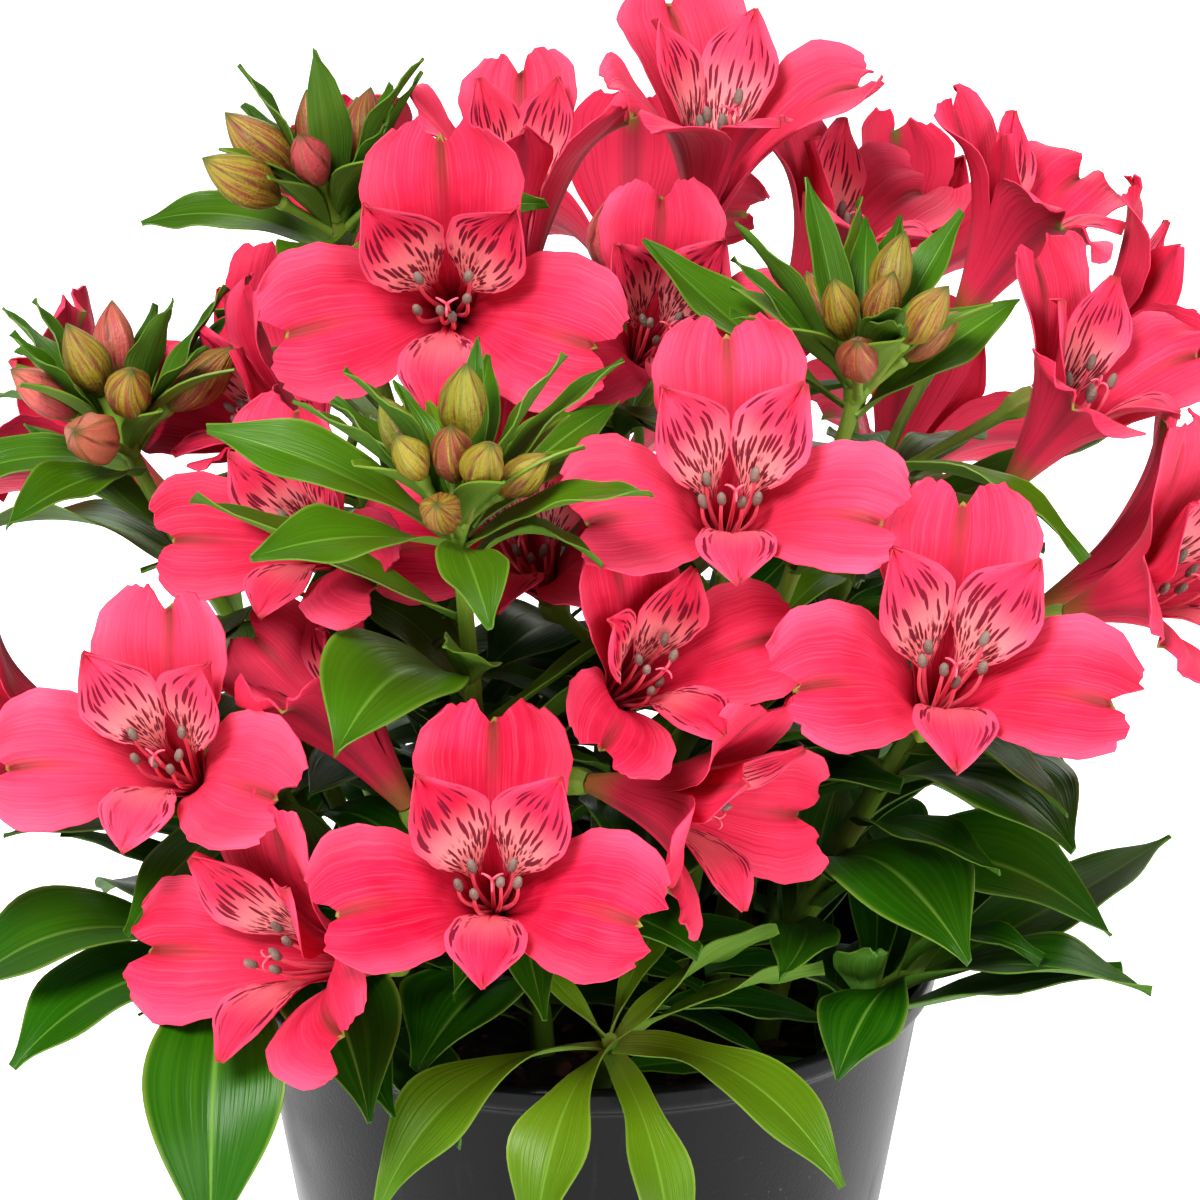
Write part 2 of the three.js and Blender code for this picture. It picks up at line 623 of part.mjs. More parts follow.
// Layout: each shoot's foot on the peat, the top of its stem, and what it carries. A bloom is placed by
// its throat, the way its mouth faces (compass angle, rise, roll) and how far it is open.
const SHOOTS = [
  {
    name: "front",
    front: 1,
    seed: 1,
    foot: [-8, -22],
    head: [-14, -34, 152],
    leaves: { count: 5, from: 0.4, to: 0.8, length: 62 },
    whorl: { count: 1, length: 40, rise: 20, droop: -25 },
    blooms: [
      { at: [-16, -86, 167], face: [-91, 38, 0], open: 1, size: 1 },
      { at: [-48, -75, 150], face: [-135, 22, 0], open: 0.95, size: 1 },
      { at: [-41, -56, 184], face: [-165, 57, 0], open: 0.3, size: 0.98 },
      { at: [15, -65, 174], face: [-32, 0, 0], open: 0.8, size: 0.95 },
    ],
  },
  {
    name: "centre",
    seed: 23,
    foot: [8, -12],
    head: [16, -20, 178],
    leaves: { count: 4, from: 0.4, to: 0.8, length: 60 },
    whorl: { count: 4, length: 38, rise: 20, droop: -20 },
    blooms: [
      { at: [24, -64, 227], face: [-88, 42, 0], open: 0.95, size: 1 },
      { at: [9, -69, 198], face: [-62, 35, 20], open: 0.8, size: 0.9 },
      { at: [-10, -43, 212], face: [-105, 45, 0], open: 0.9, size: 0.95 },
    ],
  },
  {
    name: "young_front",
    front: 2,
    seed: 3,
    foot: [-18, -6],
    head: [-21, -84, 229],
    thick: 1.9,
    leaves: { count: 2, from: 0.5, to: 0.7, length: 55 },
    whorl: { count: 6, length: 44, rise: 30, droop: 2, tilt: 50 },
    youngHead: { count: 6, length: 13, radius: 3.6, spread: 40, draw: 20 },
  },
  {
    name: "upper_left",
    seed: 4,
    foot: [-20, 8],
    head: [-24, -8, 206],
    leaves: { count: 4, from: 0.4, to: 0.8, length: 60 },
    whorl: { count: 4, length: 38, rise: 20, droop: -20 },
    blooms: [
      { at: [-24, -36, 255], face: [-92, 22, 0], open: 1, size: 1.05 },
      { at: [-47, -46, 215], face: [-118, 28, 0], open: 0.8, size: 0.9 },
      { at: [-56, -16, 227], face: [-150, 35, 0], open: 0.6, size: 0.9 },
    ],
  },
  {
    name: "left",
    seed: 5,
    foot: [-30, -12],
    head: [-56, -28, 162],
    leaves: { count: 5, from: 0.4, to: 0.8, length: 62 },
    whorl: { count: 4, length: 42, rise: 10, droop: -30 },
    blooms: [
      { at: [-72, -61, 180], face: [-105, 36, 0], open: 0.95, size: 0.98 },
      { at: [-98, -38, 176], face: [-160, 20, 0], open: 0.9, size: 0.98 },
    ],
  },
  {
    name: "young_left",
    front: 2,
    seed: 6,
    foot: [-36, 4],
    head: [-81, -21, 223],
    thick: 1.9,
    leaves: { count: 4, from: 0.45, to: 0.78, length: 50 },
    whorl: { count: 6, length: 42, rise: 25, droop: -15, tilt: 50 },
    youngHead: { count: 6, length: 15, radius: 4.2, spread: 60, draw: 6 },
  },
  {
    name: "young_top_left",
    front: 2,
    seed: 7,
    foot: [-14, 16],
    head: [-44, -5, 259],
    thick: 1.9,
    leaves: { count: 3, from: 0.6, to: 0.88, length: 46 },
    whorl: { count: 6, length: 40, rise: 34, droop: 0, tilt: 50 },
    youngHead: { count: 7, length: 15, radius: 4.2, spread: 58, draw: 7 },
  },
  {
    name: "top",
    seed: 8,
    foot: [2, 10],
    head: [6, 6, 222],
    leaves: { count: 3, from: 0.42, to: 0.8, length: 55 },
    whorl: { count: 4, length: 40, rise: 30, droop: 0 },
    blooms: [
      { at: [-12, 0, 264], face: [-85, 84, 0], open: 0.4, size: 1 },
      { at: [23, 6, 272], face: [-60, 72, 0], open: 0.75, size: 1.05 },
      { at: [12, -17, 244], face: [-75, 35, 0], open: 0.85, size: 0.9 },
      { at: [44, 17, 251], face: [-20, 62, 0], open: 0.85, size: 0.95 },
    ],
    buds: [{ at: [5, -8, 270], face: [-90, 80, 0], size: 1, length: 16, radius: 5.5 }],
  },
  {
    name: "upper_right",
    seed: 9,
    foot: [24, 8],
    head: [54, 2, 212],
    leaves: { count: 4, from: 0.4, to: 0.8, length: 58 },
    whorl: { count: 4, length: 38, rise: 20, droop: -10 },
    blooms: [
      { at: [76, 10, 254], face: [-10, 62, 0], open: 0.8, size: 0.95 },
      { at: [97, 12, 235], face: [0, 35, 0], open: 0.85, size: 0.95 },
      { at: [84, -28, 233], face: [-35, 55, 0], open: 0.7, size: 1 },
    ],
  },
  {
    name: "young_right",
    front: 2,
    seed: 10,
    foot: [16, -2],
    head: [46, -44, 240],
    thick: 1.9,
    leaves: { count: 2, from: 0.5, to: 0.75, length: 50 },
    whorl: { count: 6, length: 44, rise: 46, droop: 52, tilt: 40 },
    youngHead: { count: 6, length: 13, radius: 3.5, spread: 42, draw: 11 },
  },
  {
    name: "right",
    seed: 11,
    foot: [32, -16],
    head: [60, -26, 176],
    leaves: { count: 5, from: 0.35, to: 0.8, length: 66 },
    whorl: { count: 4, length: 44, rise: 10, droop: -20 },
    blooms: [
      { at: [60, -75, 200], face: [-84, 42, -8], open: 1, size: 1.04 },
      { at: [99, -37, 204], face: [-35, 28, 0], open: 0.9, size: 1 },
    ],
    buds: [{ at: [37, -57, 197], face: [-100, 20, 0], size: 1, length: 12, radius: 4.5 }],
  },
  {
    name: "back_left",
    seed: 12,
    foot: [-22, 28],
    head: [-44, 42, 196],
    leaves: { count: 5, from: 0.35, to: 0.8, length: 62 },
    whorl: { count: 4, length: 42, rise: 10, droop: -20 },
    blooms: [
      { at: [-60, 89, 202], face: [115, 34, 0], open: 1, size: 1 },
      { at: [-94, 36, 206], face: [165, 30, 0], open: 0.9, size: 1 },
      { at: [-46, 54, 244], face: [115, 50, 0], open: 0.8, size: 0.95 },
    ],
  },
  {
    name: "back",
    seed: 13,
    foot: [4, 34],
    head: [6, 48, 196],
    leaves: { count: 4, from: 0.35, to: 0.8, length: 60 },
    whorl: { count: 4, length: 42, rise: 10, droop: -20 },
    blooms: [
      { at: [2, 98, 189], face: [92, 34, 0], open: 1, size: 1 },
      { at: [8, 66, 240], face: [88, 40, 0], open: 0.9, size: 0.95 },
    ],
  },
  {
    name: "back_right",
    seed: 14,
    foot: [28, 22],
    head: [50, 36, 188],
    leaves: { count: 5, from: 0.35, to: 0.8, length: 62 },
    whorl: { count: 4, length: 42, rise: 10, droop: -20 },
    blooms: [
      { at: [64, 81, 195], face: [62, 32, 0], open: 0.95, size: 1 },
      { at: [103, 27, 187], face: [10, 25, 0], open: 0.9, size: 1 },
      { at: [60, 52, 240], face: [50, 45, 0], open: 0.7, size: 0.95 },
    ],
  },
  {
    name: "low_front",
    front: 1,
    seed: 15,
    foot: [2, -44],
    head: [4, -62, 128],
    thick: 2,
    leaves: { count: 0, from: 0.5, to: 0.9, length: 50 },
    whorl: { count: 0, length: 40, rise: 20, droop: -20 },
    ownLeaves: [
      [-150, 15, -62, 62, 15, 20],
      [-110, 10, -78, 64, 14, -30],
      [-72, 12, -72, 66, 14, 30],
      [-36, 18, -50, 60, 16, -20],
      [8, 30, 5, 40, 9, 60],
      [50, 50, 20, 36, 8, 40],
      [100, 60, 20, 34, 8, 40],
      [150, 45, 20, 36, 9, -40],
      [-175, 30, -10, 44, 12, -40],
    ],
  },
  {
    name: "low_left",
    front: 1,
    seed: 16,
    foot: [-38, -28],
    head: [-64, -50, 140],
    thick: 2,
    leaves: { count: 3, from: 0.55, to: 0.9, length: 60 },
    whorl: { count: 0, length: 40, rise: 20, droop: -20 },
    ownLeaves: [
      [-125, 5, -80, 74, 24, 0],
      [-160, 10, -45, 66, 20, 0],
      [165, 15, -30, 62, 18, 0],
      [-76, 5, -78, 78, 22, 10],
      [-30, 5, -60, 60, 20, 0],
    ],
  },
  {
    name: "low_right",
    front: 1,
    seed: 17,
    foot: [42, -26],
    head: [58, -36, 130],
    thick: 2,
    leaves: { count: 2, from: 0.6, to: 0.9, length: 55 },
    whorl: { count: 0, length: 40, rise: 20, droop: -20 },
    ownLeaves: [
      [15, 8, 22, 62, 22, 0],
      [-25, 40, 35, 64, 18, 0],
      [-70, 0, -55, 34, 14, 0],
      [55, 20, -5, 50, 16, 0],
    ],
  },
  {
    name: "low_back_left",
    seed: 18,
    foot: [-32, 34],
    head: [-48, 54, 140],
    thick: 2,
    leaves: { count: 3, from: 0.6, to: 0.9, length: 62 },
    whorl: { count: 5, length: 58, rise: 12, droop: -55 },
  },
  {
    name: "low_back_right",
    seed: 19,
    foot: [34, 32],
    head: [52, 52, 140],
    thick: 2,
    leaves: { count: 3, from: 0.6, to: 0.9, length: 62 },
    whorl: { count: 5, length: 58, rise: 12, droop: -55 },
  },
];

// Putting it together: stems first, then blooms and buds clear of them, then leaves clear of all.
const CLEAR = GAP + 0.05;
const group = new THREE.Group();

function addNode(name, solid, material) {
  const mesh = solid.getMesh();
  const geometry = new THREE.BufferGeometry();
  geometry.setAttribute("position", new THREE.Float32BufferAttribute(mesh.vertProperties, 3));
  geometry.setIndex(new THREE.BufferAttribute(mesh.triVerts, 1));
  geometry.computeVertexNormals();
  const body = new THREE.Mesh(geometry, material);
  body.name = name;
  group.add(body);
}

function cutBy(solid, cutters) {
  return cutters.reduce((left, one) => (near(left, one) ? left.subtract(one) : left), solid);
}

function crosses(solid, others, least) {
  return others.some((one) => near(solid, one) && solid.intersect(one).volume() > least);
}

// A stem with its pedicels and no leaves yet; extra thickens it all. The blooms that stand furthest
// out choose their faces first.
function startShoot(shoot, extra) {
  const body = new Stalk(stemRings(shoot, stemStations(shoot).all, extra));
  const level = body.levels - 1;
  const reach = (one) => Math.hypot(one.at[0] - shoot.head[0], one.at[1] - shoot.head[1]);
  const carried = [...(shoot.blooms || []), ...(shoot.buds || [])].sort((a, b) => reach(b) - reach(a));
  for (const one of carried) {
    const towards = point(...one.at).sub(point(...shoot.head));
    const facet = body.facet(level, towards.setZ(0).normalize());
    body.grow(facet, pedicelRings(facet, one, extra));
  }
  return body;
}

const blooms = SHOOTS.flatMap((shoot) => shoot.blooms || []);
const buds = SHOOTS.flatMap((shoot) => shoot.buds || []);
blooms.forEach((bloom, i) => {
  bloom.seed = i + 1;
});
const stems = SHOOTS.map((shoot) => startShoot(shoot, 0));
const wideStems = SHOOTS.map((shoot) => startShoot(shoot, CLEAR).solid());
const taken = [];

const pot = potSolid();
const holes = SHOOTS.map((shoot) => {
  const rings = stemRings(shoot, [0, stemStations(shoot).foot], CLEAR);
  rings[0].forEach((p) => p.setZ(p.z - CLEAR));
  return loft(rings);
});
const peat = cutBy(peatSolid(), holes);
addNode("pot", pot, PLASTIC);
addNode("peat", peat, PEAT);

blooms.forEach((bloom, i) => {
  const solid = largest(cutBy(bloomSolid(bloom, 0), [...wideStems, ...taken]));
  taken.push(bloomSolid(bloom, 2 * CLEAR), solid);
  addNode("bloom_" + String(i + 1).padStart(2, "0"), solid, PINK);
});
buds.forEach((bud, i) => {
  const solid = largest(cutBy(budSolid(bud, 0), [...wideStems, ...taken]));
  taken.push(budSolid(bud, CLEAR));
  addNode("bud_" + (i + 1), solid, BUD);
});
for (const shoot of SHOOTS.filter((one) => one.youngHead)) {
  const solid = largest(cutBy(budHeadSolid(shoot, 0), [...wideStems, ...taken]));
  taken.push(budHeadSolid(shoot, CLEAR));
  addNode("buds_" + shoot.name, solid, BUD);
}

// A leaf is turned aside until it is clear of everything placed so far, and left out if it never is.
// The shoots whose leaves lie in front come first.
const TURNS = [0, 15, -15, 30, -30, 45, -45, 60, -60];
const LIFTS = [0, 14, -14, 28];
taken.push(...[pot, peat].flatMap((one) => [one.translate([0, 0, 0.5]), one.scale([1.01, 1.01, 1])]));

function placeLeaf(leaf, body, others, own, ownStem) {
  const facet = body.facet(leaf.level, heading(leaf.azimuth, 0));
  for (const lift of LIFTS) {
    for (const turn of TURNS) {
      const tried = {
        ...leaf,
        root: facet.middle,
        azimuth: leaf.azimuth + turn,
        rise: leaf.rise + lift,
        droop: leaf.droop + lift,
      };
      const along = leaf.length > 48 ? [0.27, 0.6, 1] : [0.45, 1];
      const root = loft(leafRings(tried, [0, along[0]], CLEAR));
      const wide = loft(leafRings(tried, [0.12, ...along], CLEAR));
      const rings = leafRings(tried, along, 0);
      const ahead = rings[0][0].clone().add(rings[0].at(-2)).divideScalar(2).sub(facet.middle);
      if (ahead.dot(facet.out) < 0.25 * ahead.length()) continue;
      if (crosses(body.branch(facet, rings), body.grown, 1e-3)) continue;
      if (crosses(root, others, 1e-3) || crosses(wide, [...others, ...own, ownStem], 1e-3)) continue;
      body.grow(facet, rings);
      own.push(wide);
      taken.push(root);
      return;
    }
  }
  body.release(facet);
}

const byFront = (a, b) => (SHOOTS[b].front || 0) - (SHOOTS[a].front || 0);
const order = [...SHOOTS.keys()].sort(byFront);
for (const i of order) {
  const shoot = SHOOTS[i];
  const others = [...taken, ...wideStems.filter((_, j) => j !== i)];
  const own = [];
  leavesOf(shoot).forEach((leaf) => placeLeaf(leaf, stems[i], others, own, wideStems[i]));
  taken.push(...own);
  addNode("shoot_" + shoot.name, stems[i].solid(), GREEN);
}

export default group;
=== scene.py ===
import math

import bpy
import numpy as np
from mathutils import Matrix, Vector, noise
from mathutils.bvhtree import BVHTree
from mathutils.kdtree import KDTree


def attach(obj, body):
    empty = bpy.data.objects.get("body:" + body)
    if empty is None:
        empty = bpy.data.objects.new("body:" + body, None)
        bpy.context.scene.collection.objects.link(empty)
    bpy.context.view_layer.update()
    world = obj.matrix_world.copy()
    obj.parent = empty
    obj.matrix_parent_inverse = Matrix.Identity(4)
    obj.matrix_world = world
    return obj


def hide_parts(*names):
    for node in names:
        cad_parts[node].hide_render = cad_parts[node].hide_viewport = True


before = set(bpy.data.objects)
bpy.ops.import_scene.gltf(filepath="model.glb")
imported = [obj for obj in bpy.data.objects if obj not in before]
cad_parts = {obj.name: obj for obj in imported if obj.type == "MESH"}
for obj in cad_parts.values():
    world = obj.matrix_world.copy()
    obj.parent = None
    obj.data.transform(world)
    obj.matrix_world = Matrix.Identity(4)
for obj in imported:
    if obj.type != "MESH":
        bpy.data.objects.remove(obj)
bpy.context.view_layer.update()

# The view: a long lens a little above the plant, as the photograph was taken, on a plain pale floor
# under soft studio light from the front and above.
MM = 0.001
CAMERA_PLACE = Vector((2.2, -758.3, 443.7)) * MM
CAMERA_TARGET = Vector((2.2, 0, 188.8)) * MM
LENS = 129.7
SENSOR_WIDTH = 36
SKY_GLOW = 0.28
camera_data = bpy.data.cameras.new("camera")
camera_data.lens = LENS
camera_data.sensor_width = SENSOR_WIDTH
camera_data.clip_end = 50
camera = bpy.data.objects.new("camera", camera_data)
camera.location = CAMERA_PLACE
camera.rotation_euler = (CAMERA_TARGET - CAMERA_PLACE).to_track_quat("-Z", "Y").to_euler()
bpy.context.scene.collection.objects.link(camera)
bpy.context.scene.camera = camera
bpy.context.scene.view_settings.view_transform = "Standard"
bpy.context.scene.view_settings.look = "Medium High Contrast"


def soft_light(name, place, aim, size, power):
    data = bpy.data.lights.new(name, "AREA")
    data.shape = "DISK"
    data.size = size
    data.energy = power
    light = bpy.data.objects.new(name, data)
    light.location = place
    light.rotation_euler = (Vector(aim) - Vector(place)).to_track_quat("-Z", "Y").to_euler()
    bpy.context.scene.collection.objects.link(light)


soft_light("key_light", (-0.45, -1.0, 1.25), (0, 0, 0.18), 0.6, 26)
soft_light("fill_light", (0.9, -0.9, 0.6), (0, 0, 0.18), 0.8, 8)
soft_light("back_light", (0.2, 1.1, 1.0), (0, 0, 0.2), 0.8, 8)

world = bpy.data.worlds.new("studio")
world.use_nodes = True
world.node_tree.nodes["Background"].inputs["Color"].default_value = (1, 1, 1, 1)
world.node_tree.nodes["Background"].inputs["Strength"].default_value = SKY_GLOW
bpy.context.scene.world = world


# The studio floor: one wide sheet of matt white paper under the pot. It glows a little, so that it
# stays as pale as the ground of the photograph.
def linear(red, green, blue):
    """A colour as a shader takes it, from the 0 to 255 numbers of a screen."""
    parts = [c / 255 for c in (red, green, blue)]
    return tuple(c / 12.92 if c < 0.04045 else ((c + 0.055) / 1.055) ** 2.4 for c in parts) + (1,)


class Signal:
    """What a socket gives, which adds Math nodes as it is reckoned with."""

    def __init__(self, finish, socket):
        self.finish = finish
        self.socket = socket

    def reckon(self, operation, *values):
        return self.finish.node("ShaderNodeMath", {"operation": operation}, dict(enumerate(values)))

    def __add__(self, other):
        return self.reckon("ADD", self, other)

    def __sub__(self, other):
        return self.reckon("SUBTRACT", self, other)

    def __rsub__(self, other):
        return self.reckon("SUBTRACT", other, self)

    def __mul__(self, other):
        return self.reckon("MULTIPLY", self, other)

    def __pow__(self, other):
        return self.reckon("POWER", self, other)

    def __abs__(self):
        return self.reckon("ABSOLUTE", self)

    __radd__ = __add__
    __rmul__ = __mul__

    def rise(self, start, end):
        """A smooth step from 0 at start to 1 at end."""
        settings = {"interpolation_type": "SMOOTHSTEP"}
        return self.finish.node("ShaderNodeMapRange", settings, {0: self, 1: start, 2: end, 3: 0.0, 4: 1.0})


class Finish:
    """One material: node() adds any node, and the rest are the few that the finishes here share."""

    def __init__(self, name):
        self.material = bpy.data.materials.new(name)
        self.material.use_nodes = True
        self.tree = self.material.node_tree
        self.shader = self.tree.nodes["Principled BSDF"]

    def node(self, kind, settings, values, output=0):
        node = self.tree.nodes.new(kind)
        for key, value in settings.items():
            setattr(node, key, value)
        for key, value in values.items():
            if isinstance(value, Signal):
                self.tree.links.new(value.socket, node.inputs[key])
            else:
                node.inputs[key].default_value = value
        return Signal(self, node.outputs[output])

    def set(self, **values):
        for key, value in values.items():
            socket = self.shader.inputs[key.replace("_", " ")]
            if isinstance(value, Signal):
                self.tree.links.new(value.socket, socket)
            else:
                socket.default_value = value

    def place(self):
        return self.node("ShaderNodeTexCoord", {}, {}, "Object")

    def split(self, vector):
        return [self.node("ShaderNodeSeparateXYZ", {}, {0: vector}, axis) for axis in range(3)]

    def mark(self, name):
        """The three numbers of a named mark on the mesh."""
        return self.split(self.node("ShaderNodeAttribute", {"attribute_name": name}, {}, "Vector"))

    def join(self, x, y, z):
        return self.node("ShaderNodeCombineXYZ", {}, {0: x, 1: y, 2: z})

    def noise(self, vector, scale, detail=2.0, distortion=0.0):
        values = {"Vector": vector, "Scale": scale, "Detail": detail, "Distortion": distortion}
        return self.node("ShaderNodeTexNoise", {}, values)

    def mix(self, share, first, second):
        """A mix of two colours, each a signal or the three numbers of a screen."""
        first, second = (one if isinstance(one, Signal) else linear(*one) for one in (first, second))
        return self.node("ShaderNodeMix", {"data_type": "RGBA"}, {0: share, 6: first, 7: second}, 2)

    def layers(self, color, *coats):
        """A colour under coats, each its share and its colour, from the lowest to the top one."""
        for share, coat in coats:
            color = self.mix(share, color, coat)
        return color

    def dashes(self, at, blur):
        """Small marks strewn evenly over a plane, each a little ragged by the blur."""
        near = self.node("ShaderNodeTexVoronoi", {"voronoi_dimensions": "2D"}, {"Vector": at, "Scale": 1.0})
        return (near + blur).rise(0.4, 0.33)

    def bump(self, height, distance, strength=1.0):
        values = {"Height": height, "Distance": distance, "Strength": strength}
        return self.node("ShaderNodeBump", {}, values)


FLOOR_SIZE = 30.0
FLOOR_GLOW = 0.64
floor_mesh = bpy.data.meshes.new("floor")
floor_half = FLOOR_SIZE / 2
floor_corners = [(-floor_half, -floor_half, 0), (floor_half, -floor_half, 0)]
floor_corners += [(floor_half, floor_half, 0), (-floor_half, floor_half, 0)]
floor_mesh.from_pydata(floor_corners, [], [(0, 1, 2, 3)])
floor = bpy.data.objects.new("floor", floor_mesh)
bpy.context.scene.collection.objects.link(floor)
floor_finish = Finish("pale_floor")
floor_grain = floor_finish.noise(floor_finish.place(), 9.0)
floor_color = floor_finish.mix(floor_grain, (246, 246, 246), (250, 250, 250))
floor_finish.set(Base_Color=floor_color, Roughness=0.8)
floor_finish.set(Emission_Color=(1, 1, 1, 1), Emission_Strength=FLOOR_GLOW)
floor_mesh.materials.append(floor_finish.material)


# The pot: a thin tapered nursery pot, injection moulded in dark polypropylene, with a turned-out rim
# and six drain holes in its floor.
POT_HEIGHT = 120
FOOT_RADIUS = 45
RIM_RADIUS = 66
RIM_OVERHANG = 2.6
NECK = POT_HEIGHT - 6
POT_WALL = 1.5
POT_SIDES = 144
WALL_SLOPE = (RIM_RADIUS - RIM_OVERHANG - FOOT_RADIUS) / NECK


class Growth:
    """The skin of one piece as it is made: places in millimetres, faces, looks, and two marks per point.
    blade holds across, along and a draw, and tone holds side, youth and kind, or what a stem, a bud or
    the peat has in their stead. Each of these is one number for all points, or a row or grid of them."""

    def __init__(self):
        self.places = []
        self.blades = []
        self.tones = []
        self.faces = []
        self.looks = []
        self.count = 0

    def points(self, places, blade=(0, 0, 0), tone=(0, 0, 0)):
        places = np.asarray(places, float)
        shape = places.shape[:-1]
        self.places.append(places.reshape(-1, 3))
        for rows, mark in ((self.blades, blade), (self.tones, tone)):
            rows.append(np.stack([np.broadcast_to(one, shape) for one in mark], -1).reshape(-1, 3))
        numbers = np.arange(self.count, self.count + math.prod(shape)).reshape(shape)
        self.count += math.prod(shape)
        return numbers

    def quads(self, grid, look=0, turned=False):
        corners = [grid[:-1, :-1], grid[:-1, 1:], grid[1:, 1:], grid[1:, :-1]]
        if turned:
            corners.reverse()
        quads = np.stack(corners, -1).reshape(-1, 4)
        self.faces += quads.tolist()
        self.looks += [look] * len(quads)

    def cap(self, ring, look=0, turned=False):
        self.faces.append(list(ring)[::-1] if turned else list(ring))
        self.looks.append(look)

    def tube(self, rings, blade=(0, 0, 0), tone=(0, 0, 0), look=0, rooted=False):
        """A tube through rings of corners, each ring run round anticlockwise seen from its far end. One
        that is rooted in another has no cap at its near end."""
        numbers = self.points(rings, blade, tone)
        self.quads(np.concatenate([numbers, numbers[:, :1]], 1), look)
        if not rooted:
            self.cap(numbers[0], look, True)
        self.cap(numbers[-1], look)

    def piece(self, name, finishes, sharp=50):
        mesh = bpy.data.meshes.new(name)
        mesh.from_pydata((np.concatenate(self.places) * MM).tolist(), [], self.faces)
        for label, rows in (("blade", self.blades), ("tone", self.tones)):
            mark = mesh.attributes.new(label, "FLOAT_VECTOR", "POINT")
            mark.data.foreach_set("vector", np.concatenate(rows).astype(np.float32).ravel())
        for finish in finishes:
            mesh.materials.append(finish.material)
        mesh.polygons.foreach_set("material_index", self.looks)
        mesh.shade_smooth()
        mesh.set_sharp_from_angle(angle=math.radians(sharp))
        made = bpy.data.objects.new(name, mesh)
        bpy.context.scene.collection.objects.link(made)
        return made


def turns(sides):
    """The angles at which the corners of a ring lie."""
    return 2 * np.pi * np.arange(sides) / sides


def level_ring(radius, z, turn):
    """A level ring of corners round the pot's axis."""
    return np.stack([radius * np.cos(turn), radius * np.sin(turn), z + 0 * turn], -1)


def wall_radius(z):
    return FOOT_RADIUS + WALL_SLOPE * z


def rounded(profile, radius, steps=4):
    """A profile with each inner corner rounded off by a short arc."""
    out = [profile[0]]
    for before, corner, after in zip(profile, profile[1:], profile[2:]):
        before, corner, after = (np.array(p, float) for p in (before, corner, after))
        reach = min(radius, 0.45 * np.linalg.norm(before - corner), 0.45 * np.linalg.norm(after - corner))
        start = corner + (before - corner) / np.linalg.norm(before - corner) * reach
        end = corner + (after - corner) / np.linalg.norm(after - corner) * reach
        for k in range(steps + 1):
            t = k / steps
            out.append((1 - t) ** 2 * start + 2 * t * (1 - t) * corner + t * t * end)
    return out + [profile[-1]]


pot_profile = [
    (0.01, 0),
    (20, 0),
    (FOOT_RADIUS - 1, 0),
    (wall_radius(1.5), 1.5),
    (wall_radius(0.5 * NECK), 0.5 * NECK),
    (wall_radius(NECK), NECK),
    (RIM_RADIUS - 0.4, POT_HEIGHT - 4.6),
    (RIM_RADIUS, POT_HEIGHT - 3.5),
    (RIM_RADIUS, POT_HEIGHT - 0.9),
    (RIM_RADIUS - 0.8, POT_HEIGHT),
    (RIM_RADIUS - 1.6, POT_HEIGHT - 0.2),
    (wall_radius(NECK) - POT_WALL, NECK - 1),
    (wall_radius(0.5 * NECK) - POT_WALL, 0.5 * NECK),
    (wall_radius(POT_WALL) - POT_WALL, POT_WALL),
    (0.01, POT_WALL),
]
pot_skin = Growth()
pot_skin.tube([level_ring(r, z, turns(POT_SIDES)) for r, z in rounded(pot_profile, 0.9)])

plastic = Finish("charcoal_plastic")
pot_place = plastic.place()
pot_x, pot_y, pot_z = plastic.split(pot_place)
pot_cloud = plastic.noise(pot_place, 26.0, 5.0)
pot_speck = plastic.noise(pot_place, 900.0, 1.0).rise(0.70, 0.78)
pot_dust = pot_cloud.rise(0.45, 0.75)
pot_streak = plastic.noise(plastic.join(pot_x * 220, pot_y * 220, pot_z * 18), 1.0, 3.0)
pot_scuff = pot_streak.rise(0.62, 0.74)
pot_color = plastic.layers(
    plastic.mix(pot_dust * 0.4, (10, 11, 14), (24, 25, 29)),
    (pot_speck * pot_dust * 0.8, (96, 92, 88)),
    (pot_scuff * 0.25, (50, 52, 57)),
)
pot_rough = 0.3 + pot_dust * 0.16 + pot_scuff * 0.08
plastic.set(Base_Color=pot_color, Roughness=pot_rough, Specular_IOR_Level=0.2)
pot_relief = plastic.noise(pot_place, 1500.0, 2.0)
plastic.set(Normal=plastic.bump(pot_relief, 0.0002, 0.25))
pot_body = pot_skin.piece("pot_moulding", [plastic], 35)

DRAIN_RADIUS = 4
DRAIN_CIRCLE = 30
DRAIN_HOLES = 6
DRAIN_SIDES = 24
drain_skin = Growth()
for angle in turns(DRAIN_HOLES) + math.pi / DRAIN_HOLES:
    middle = (DRAIN_CIRCLE * math.cos(angle), DRAIN_CIRCLE * math.sin(angle), 0)
    drain_skin.tube([level_ring(DRAIN_RADIUS, z, turns(DRAIN_SIDES)) + middle for z in (-3, 3)])
drain_cutter = drain_skin.piece("drain_cutter", [plastic])
drilling = pot_body.modifiers.new("drains", "BOOLEAN")
drilling.operation = "DIFFERENCE"
drilling.object = drain_cutter
drilled = bpy.data.meshes.new_from_object(pot_body.evaluated_get(bpy.context.evaluated_depsgraph_get()))
pot_body.modifiers.clear()
pot_body.data = drilled
bpy.data.objects.remove(drain_cutter)
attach(pot_body, "root")
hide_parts("pot")


# The peat: a dark crumbly fill with a lumpy top, on which bits of brown bark lie. It fills the pot to
# a little under the rim.
SOIL_TOP = 108
SOIL_GAP = 0.3
SOIL_SKIN = 0.5
PEAT_REACH = 62
PEAT_EDGE = 18
PEAT_SIDES = 150
PEAT_RINGS = 48
CRUMB_RELIEF = 0.9
BARK_BITS = 420
BARK_REACH = 57


